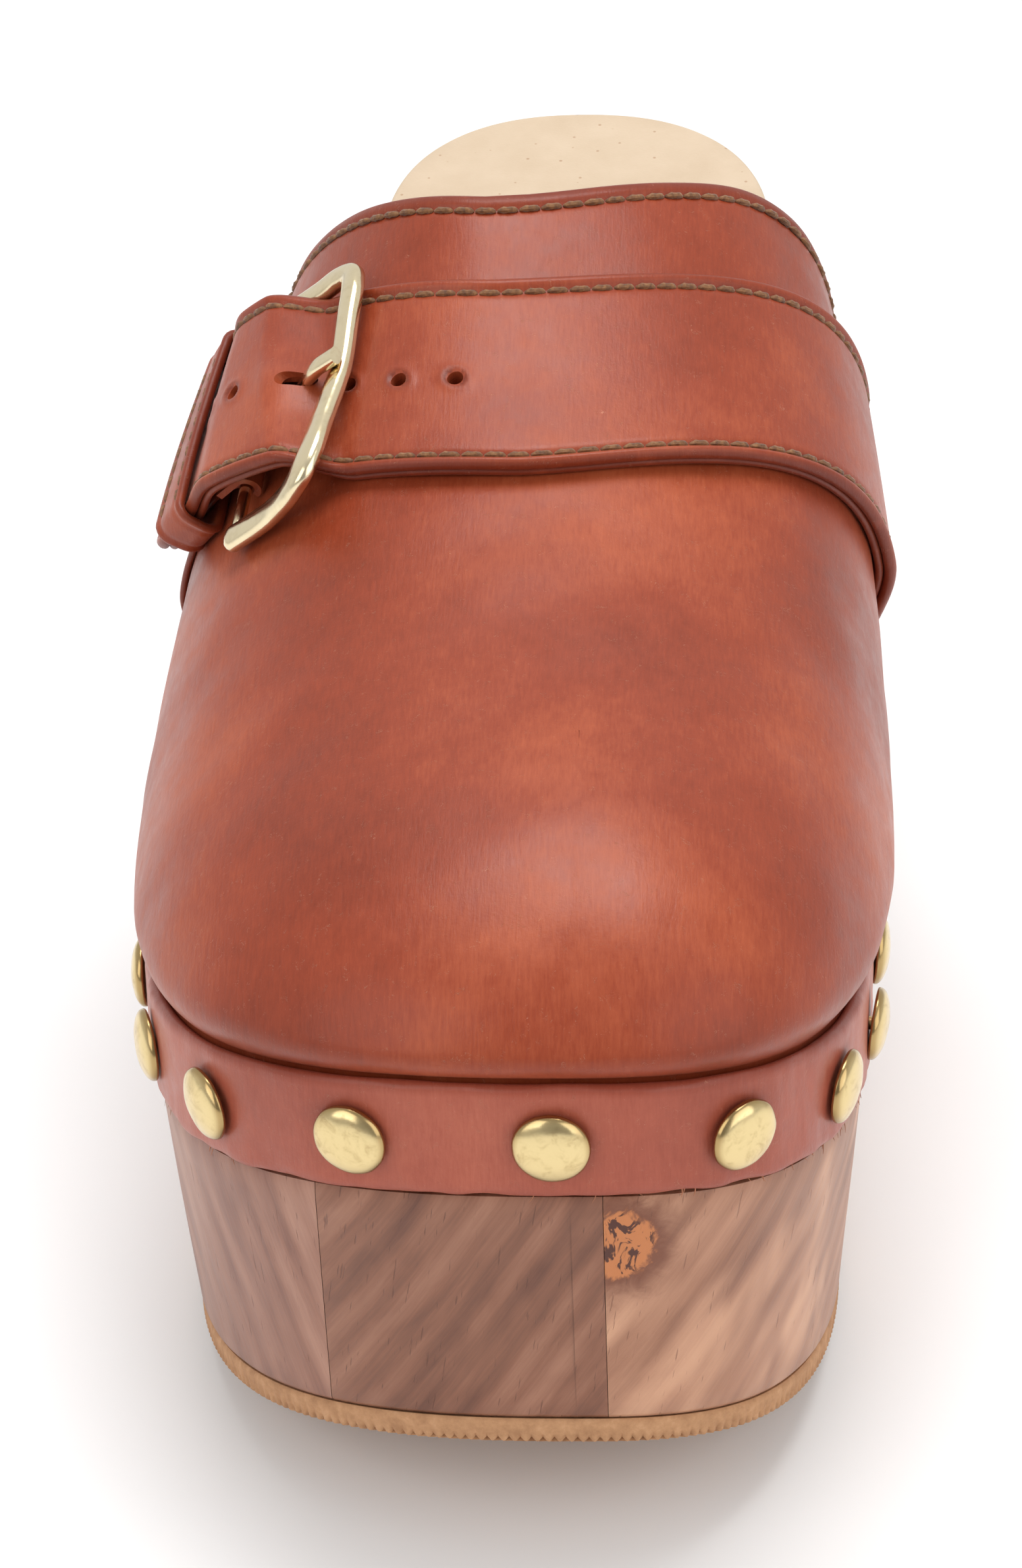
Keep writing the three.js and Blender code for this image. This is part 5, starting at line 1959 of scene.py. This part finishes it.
@dataclass
class Anchor:
    """The leather that holds the buckle's pin, and the loop round the belt."""

    shop: Workshop
    sizes: BeltSizes
    thick: float = 1.0
    half: float = 12.0
    tuck: float = 1.3

    def low(self, u: np.ndarray) -> np.ndarray:
        """The underside of the anchor leather at u.

        Args:
            u: places along the belt.

        Returns:
            The heights off the upper.
        """
        sizes = self.sizes
        over = sizes.keeper_leather + GAP
        base = GAP + over * ease((u - sizes.keeper[0] + 4) / 3) * (u > sizes.keeper[0] - 4)
        under_pin = sizes.pin_w - sizes.pin_radius - GAP - self.thick
        return np.minimum(base, blend(base, under_pin, ease((u - sizes.pin_u + 8) / 6)))

    def leather(self) -> Shape:
        """The flat part, from the crease to the pin.

        Returns:
            The leather.
        """
        sizes = self.sizes
        start = sizes.line.outer_u + self.tuck
        u = np.linspace(start, sizes.pin_u, 110)
        wide = blend(sizes.half, self.half, ease((u - start) / (sizes.pin_u - start)))
        low = self.low(u)
        turn = np.linspace(-math.pi / 2, math.pi / 2, 7)
        radius = self.thick / 2
        right = (wide - radius)[:, None] + radius * np.cos(turn)
        right_w = radius + radius * np.sin(turn) + 0 * right
        flat = np.linspace(1, -1, 34)[None, 1:-1] * (wide - radius)[:, None]
        v = np.concatenate([right, flat, -right[:, ::-1], -flat], 1)
        w = np.concatenate([right_w, np.full_like(flat, self.thick), right_w[:, ::-1], np.zeros_like(flat)], 1)
        edge = wide[:, None] - np.abs(v)
        wear_and_shade = 0.7 * bell(edge, 0.8)
        return skin(sizes.line.at(u[:, None] + 0 * v, v, low[:, None] + w), wear_and_shade=wear_and_shade)

    def wrap(self) -> Shape:
        """The turn of leather round the pin.

        Returns:
            The turn.
        """
        sizes = self.sizes
        pin, axes, _ = sizes.pin_axes()
        inner = sizes.pin_radius + GAP
        outer = inner + self.thick
        turn = np.linspace(-math.pi / 2, math.pi / 2, 18)
        out = [(outer * math.cos(a), outer * math.sin(a)) for a in turn]
        back = [(inner * math.cos(a), inner * math.sin(a)) for a in turn[::-1]]
        ring = np.array([*out, (-4.5, outer - 0.5), (-4.5, inner - 0.5), *back])
        v = np.array([-self.half, -self.half + 0.3, 0.0, self.half - 0.3, self.half])
        points = pin + ring[None, :, :1] * axes[0] + v[:, None, None] * axes[1] + ring[None, :, 1:] * axes[2]
        return skin(points, wear_and_shade=np.full(points.shape[:2], 0.35))

    def slot(self) -> Shape:
        """The gap that the prong moves in.

        Returns:
            A cutter of its size.
        """
        pin, axes, _ = self.sizes.pin_axes()
        half = self.sizes.prong_radius + 2 * GAP
        ring = [pin + x * axes[0] + z * axes[2] for x, z in ((-4.2, -6), (6, -6), (6, 6), (-4.2, 6))]
        return skin(np.array([[p - half * axes[1] for p in ring], [p + half * axes[1] for p in ring]]))

    def loop(self) -> Shape:
        """The loop round the belt, with rounded corners and edges.

        Returns:
            The loop.
        """
        sizes = self.sizes
        wide = sizes.half + GAP + sizes.keeper_leather / 2
        middle_u = sum(sizes.keeper) / 2
        low = GAP + sizes.keeper_leather / 2
        high = float(sizes.lift(middle_u)) + sizes.lining + sizes.top + 2 * GAP + sizes.keeper_leather / 2
        corner = min(2.0, (high - low) / 2 - 0.05)
        line = []
        for cv, cw, first in (
            (wide - corner, high - corner, 0.0),
            (-wide + corner, high - corner, 90.0),
            (-wide + corner, low + corner, 180.0),
            (wide - corner, low + corner, 270.0),
        ):
            for a in np.radians(first + np.linspace(0, 90, 8)):
                line.append((cv + corner * math.cos(a), cw + corner * math.sin(a)))
        line = np.array([*line, line[0]])
        paces = paced(line)
        where = np.linspace(0, paces[-1], 141)[:-1]
        loop = np.stack([np.interp(where, paces, line[:, k]) for k in range(2)], -1)
        along = unit(np.roll(loop, -1, 0) - np.roll(loop, 1, 0))
        off = np.stack([along[:, 1], -along[:, 0]], -1)
        thick = sizes.keeper_leather / 2
        half = (sizes.keeper[1] - sizes.keeper[0]) / 2
        turn = np.linspace(-math.pi / 2, math.pi / 2, 6)
        flat = np.linspace(1, -1, 17)[1:-1] * (half - thick)
        du = np.concatenate([half - thick + thick * np.cos(turn), flat, -half + thick - thick * np.cos(turn), -flat])
        dw = np.concatenate([thick * np.sin(turn), 0 * flat + thick, thick * np.sin(turn[::-1]), 0 * flat - thick])
        rim = (dw > 0) * (0.2 * bell(half - np.abs(du) - 0.7, 0.5) - 0.22 * bell(half - np.abs(du) - 1.6, 0.4))
        dw = dw + rim
        u = middle_u + du[None] + 0 * loop[:, :1]
        v = loop[:, :1] + off[:, :1] * dw[None]
        w = loop[:, 1:] + off[:, 1:] * dw[None]
        wear_and_shade = 0.8 * bell(half - np.abs(du), 0.7)[None] + 0 * u
        lean = (sizes.lift(u) - sizes.lift(middle_u)) * ease((w - low) / (high - low))
        return skin(sizes.line.at(u, v, w + lean), loop=True, wear_and_shade=wear_and_shade)

    def loop_seams(self) -> Shape:
        """The stitches along both edges of the loop's face.

        Returns:
            All the stitches as one shape.
        """
        sizes = self.sizes
        shape: Shape | None = None
        for edge in (sizes.keeper[0] + 1.6, sizes.keeper[1] - 1.6):
            v = np.linspace(-sizes.half + 1.5, sizes.half - 1.5, 120)
            w = float(sizes.lift(edge)) + sizes.lining + sizes.top + 2 * GAP + sizes.keeper_leather - 0.02
            here = sizes.line.at(edge, v, w)
            row = Stitching(pitch=2.9, length=2.6, radius=0.3).row(here, unit(sizes.line.at(edge, v, w + 1) - here))
            shape = row if shape is None else shape.plus(row)
        return shape

    def build(self) -> None:
        """Makes and dresses the anchor leather, the loop and the loop's stitching."""
        made = self.shop.bare("chape_leather", self.leather(), crease=55)
        self.shop.carve(made, self.shop.bare("slot", self.slot()))
        turned = self.shop.bare("chape_turn", self.wrap(), crease=55)
        self.shop.carve(turned, self.shop.bare("slot", self.slot()))
        self.shop.dress(made, COGNAC, "cognac_leather", ["belt_chape"])
        self.shop.dress(turned, COGNAC, "cognac_leather", ["belt_chape"])
        made = self.shop.bare("keeper_loop", self.loop(), crease=55)
        self.shop.dress(made, COGNAC, "cognac_leather", ["belt_keeper"])
        made = self.shop.bare("keeper_stitching", self.loop_seams(), weld=0.001)
        self.shop.dress(made, THREAD, "cognac_leather")


@dataclass
class Buckle:
    """A bowed wire frame, the pin it turns on and the prong."""

    shop: Workshop
    sizes: BeltSizes
    half: float = 19.0
    toe_half: float = 20.4
    corner: float = 4.4
    toe_lift: float = 2.6
    heel_lift: float = 0.8
    past_pin: float = 1.9
    bar_rise: float = 0.3
    thick: float = 1.3
    root: float = 0.6
    prong_half: float = 0.95

    def shown(self, local: np.ndarray) -> np.ndarray:
        """Places from the pin's own axes: pin to bar, across and out."""
        pin, axes, _ = self.sizes.pin_axes()
        return pin + local @ axes

    def frame_path(self, reach: float) -> np.ndarray:
        """The bow's path, from its end on the toe side round the bar to its other end.

        Args:
            reach: the distance from pin to bar.

        Returns:
            Points of the path, in the pin's own axes.
        """
        half, corner, toe, heel = self.half, self.corner, self.toe_lift, self.heel_lift
        low = self.toe_half
        corners = [
            (-self.past_pin, -low, -0.1),
            (reach * 0.5, -low, toe * 0.2),
            (reach - corner + 0.6, -low, toe * 0.7),
            (reach - 1.0, -low + 1.2, toe),
            (reach, -low + corner - 0.6, toe),
            (reach, -half / 2, toe * 0.6),
            (reach, 0, self.bar_rise),
            (reach, half / 2, heel * 0.8),
            (reach, half - corner, heel),
            (reach - 1.2, half - 1.4, heel * 0.6),
            (reach - corner, half, heel * 0.3),
            (reach * 0.5, half, 0),
            (-self.past_pin, half, 0),
        ]
        return smooth_path(np.array(corners, float), 190)

    def prong_path(self, reach: float) -> np.ndarray:
        """The prong's middle line, from its loop round the pin to its tip.

        Args:
            reach: the distance from pin to bar.

        Returns:
            Points of the line, in the pin's own axes.
        """
        sizes = self.sizes
        loop = sizes.pin_radius + 0.15 + self.root
        turns = [(loop * math.cos(a), 0, loop * math.sin(a)) for a in np.linspace(1.35, 0.5, 9) * math.pi]
        top = self.bar_rise + self.thick + 0.1 + self.prong_half
        shaft = [(reach * 0.38, 0, loop - 0.6), (reach * 0.6, 0, loop - 0.5), (reach * 0.75, 0, loop + 0.35)]
        tip = [(reach * 0.89, 0, top - 0.05), (reach, 0, top), (reach + 1.9, 0, top)]
        return smooth_path(np.array([*turns, *shaft, *tip], float), 120)

    def build(self) -> None:
        """Makes and dresses the frame, the pin and the prong."""
        sizes = self.sizes
        pin, axes, reach = sizes.pin_axes()
        path = self.frame_path(reach)
        lengths = paced(path)
        from_end = np.minimum(lengths, lengths[-1] - lengths)
        ends = np.sqrt(np.clip(1 - (1 - from_end / 1.5) ** 2 * (from_end < 1.5), 0.02, 1))
        wide = 1.8 + 0.35 * ease((-path[:, 1] - 4) / 15)
        bar = wire(self.shown(path), axes[2], wide * ends, self.thick * ends**0.5)
        made = self.shop.bare("buckle_bow", bar, weld=0.001)
        self.shop.dress(made, GOLD, "pale_gold", ["buckle_frame"], BUCKLE)
        r, end = sizes.pin_radius, self.half + 0.4
        ends = [(0.0, -end), (r * 0.7, -end), (r, -end + 0.3), (r, end - 0.3), (r * 0.7, end), (0.0, end)]
        rod = spun(ends, 28)
        rod.points = self.shown(rod.points)
        self.shop.dress(self.shop.bare("buckle_rod", rod), GOLD, "pale_gold", ["buckle_pin"], BUCKLE)
        path = self.prong_path(reach)
        share = np.linspace(0, 1, len(path))
        grow = ease((share - 0.45) / 0.4)
        tongue = wire(self.shown(path), axes[1], self.root + (self.prong_half - self.root) * grow, 0.9 + 0.5 * grow)
        made = self.shop.bare("buckle_tongue", tongue, crease=50)
        self.shop.dress(made, GOLD, "pale_gold", ["buckle_prong"], PRONG)


# ---- The studio ----


@dataclass
class Studio:
    """The floor, the lights and the camera."""

    shop: Workshop
    lens: float = 96.54
    film: float = 36.0
    down: float = 31.556
    yaw: float = -3.281
    roll: float = -1.983
    target: tuple[float, float, float] = (-0.88, 60.0, 85.09)
    distance: float = 552.9

    def camera(self) -> None:
        """Sets up the camera."""
        down, yaw, roll = (math.radians(a) for a in (self.down, self.yaw, self.roll))
        ahead = Vector((math.sin(yaw) * math.cos(down), math.cos(yaw) * math.cos(down), -math.sin(down)))
        right = Vector((math.cos(yaw), -math.sin(yaw), 0))
        up = right.cross(ahead)
        x_axis = right * math.cos(roll) + up * math.sin(roll)
        y_axis = up * math.cos(roll) - right * math.sin(roll)
        data = bpy.data.cameras.new("camera")
        data.lens = self.lens
        data.sensor_width = self.film
        data.clip_start = 0.01
        data.dof.use_dof = False
        made = bpy.data.objects.new("camera", data)
        turned = Matrix((x_axis, y_axis, -ahead)).transposed().to_4x4()
        place = Vector(self.shop.placed(np.array(self.target))) - ahead * self.distance * MM
        made.matrix_world = Matrix.Translation(place) @ turned
        bpy.context.scene.collection.objects.link(made)
        bpy.context.scene.camera = made

    def floor(self) -> None:
        """Lays the floor."""
        wide = 2.5
        mesh = bpy.data.meshes.new("floor")
        mesh.from_pydata([(-wide, -wide, 0), (wide, -wide, 0), (wide, wide, 0), (-wide, wide, 0)], [], [(0, 1, 2, 3)])
        made = bpy.data.objects.new("floor", mesh)
        made.data.materials.append(PaleGround("pale_ground").material())
        bpy.context.scene.collection.objects.link(made)

    def lamp(self, name: str, at: Colour, size: tuple[float, float], power: float, towards: Colour) -> None:
        """Hangs a soft lamp.

        Args:
            name: its name.
            at: its place in metres.
            size: its width and height in metres.
            power: its power in watts.
            towards: the place it points at.
        """
        data = bpy.data.lights.new(name, "AREA")
        data.shape = "RECTANGLE"
        data.size, data.size_y = size
        data.energy = power
        made = bpy.data.objects.new(name, data)
        made.location = at
        made.rotation_euler = (Vector(towards) - Vector(at)).to_track_quat("-Z", "Y").to_euler()
        bpy.context.scene.collection.objects.link(made)

    def build(self) -> None:
        """Sets up everything round the shoe."""
        self.camera()
        self.floor()
        bpy.context.scene.view_settings.view_transform = "Standard"
        world = bpy.data.worlds.new("studio")
        bpy.context.scene.world = world
        world.use_nodes = True
        tree = world.node_tree
        parted = tree.nodes.new("ShaderNodeSeparateXYZ")
        tree.links.new(tree.nodes.new("ShaderNodeTexCoord").outputs["Generated"], parted.inputs[0])
        fade = tree.nodes.new("ShaderNodeMapRange")
        for name, value in (("From Min", -1.0), ("From Max", 0.2), ("To Min", 0.42), ("To Max", 1.0)):
            fade.inputs[name].default_value = value
        tree.links.new(parted.outputs["Y"], fade.inputs["Value"])
        tree.links.new(fade.outputs["Result"], tree.nodes["Background"].inputs["Color"])
        tree.nodes["Background"].inputs["Strength"].default_value = 0.82
        aim = (0.0, -0.02, 0.08)
        self.lamp("overhead", (0.05, 0.12, 1.05), (0.7, 0.45), 7.5, aim)
        self.lamp("front_left", (-0.9, -1.0, 0.9), (1.2, 1.2), 8.0, aim)
        self.lamp("front_right", (1.0, -0.8, 0.7), (1.2, 1.2), 7.0, aim)


def main() -> None:
    """Builds the clog in order."""
    logging.basicConfig(level=logging.INFO, format="%(message)s")
    shop = Workshop()
    Studio(shop).build()
    foot = Footprint()
    form = UpperForm(foot)
    WoodenSole(shop, foot).build()
    Treads(shop, foot).build()
    Insole(shop, foot).build()
    Upper(shop, form).build()
    Rand(shop, foot).build()
    Nails(shop, foot).build()
    sizes = BeltSizes(BeltLine(form))
    Belt(shop, sizes).build()
    Anchor(shop, sizes).build()
    Buckle(shop, sizes).build()


if __name__ == "__main__":
    main()
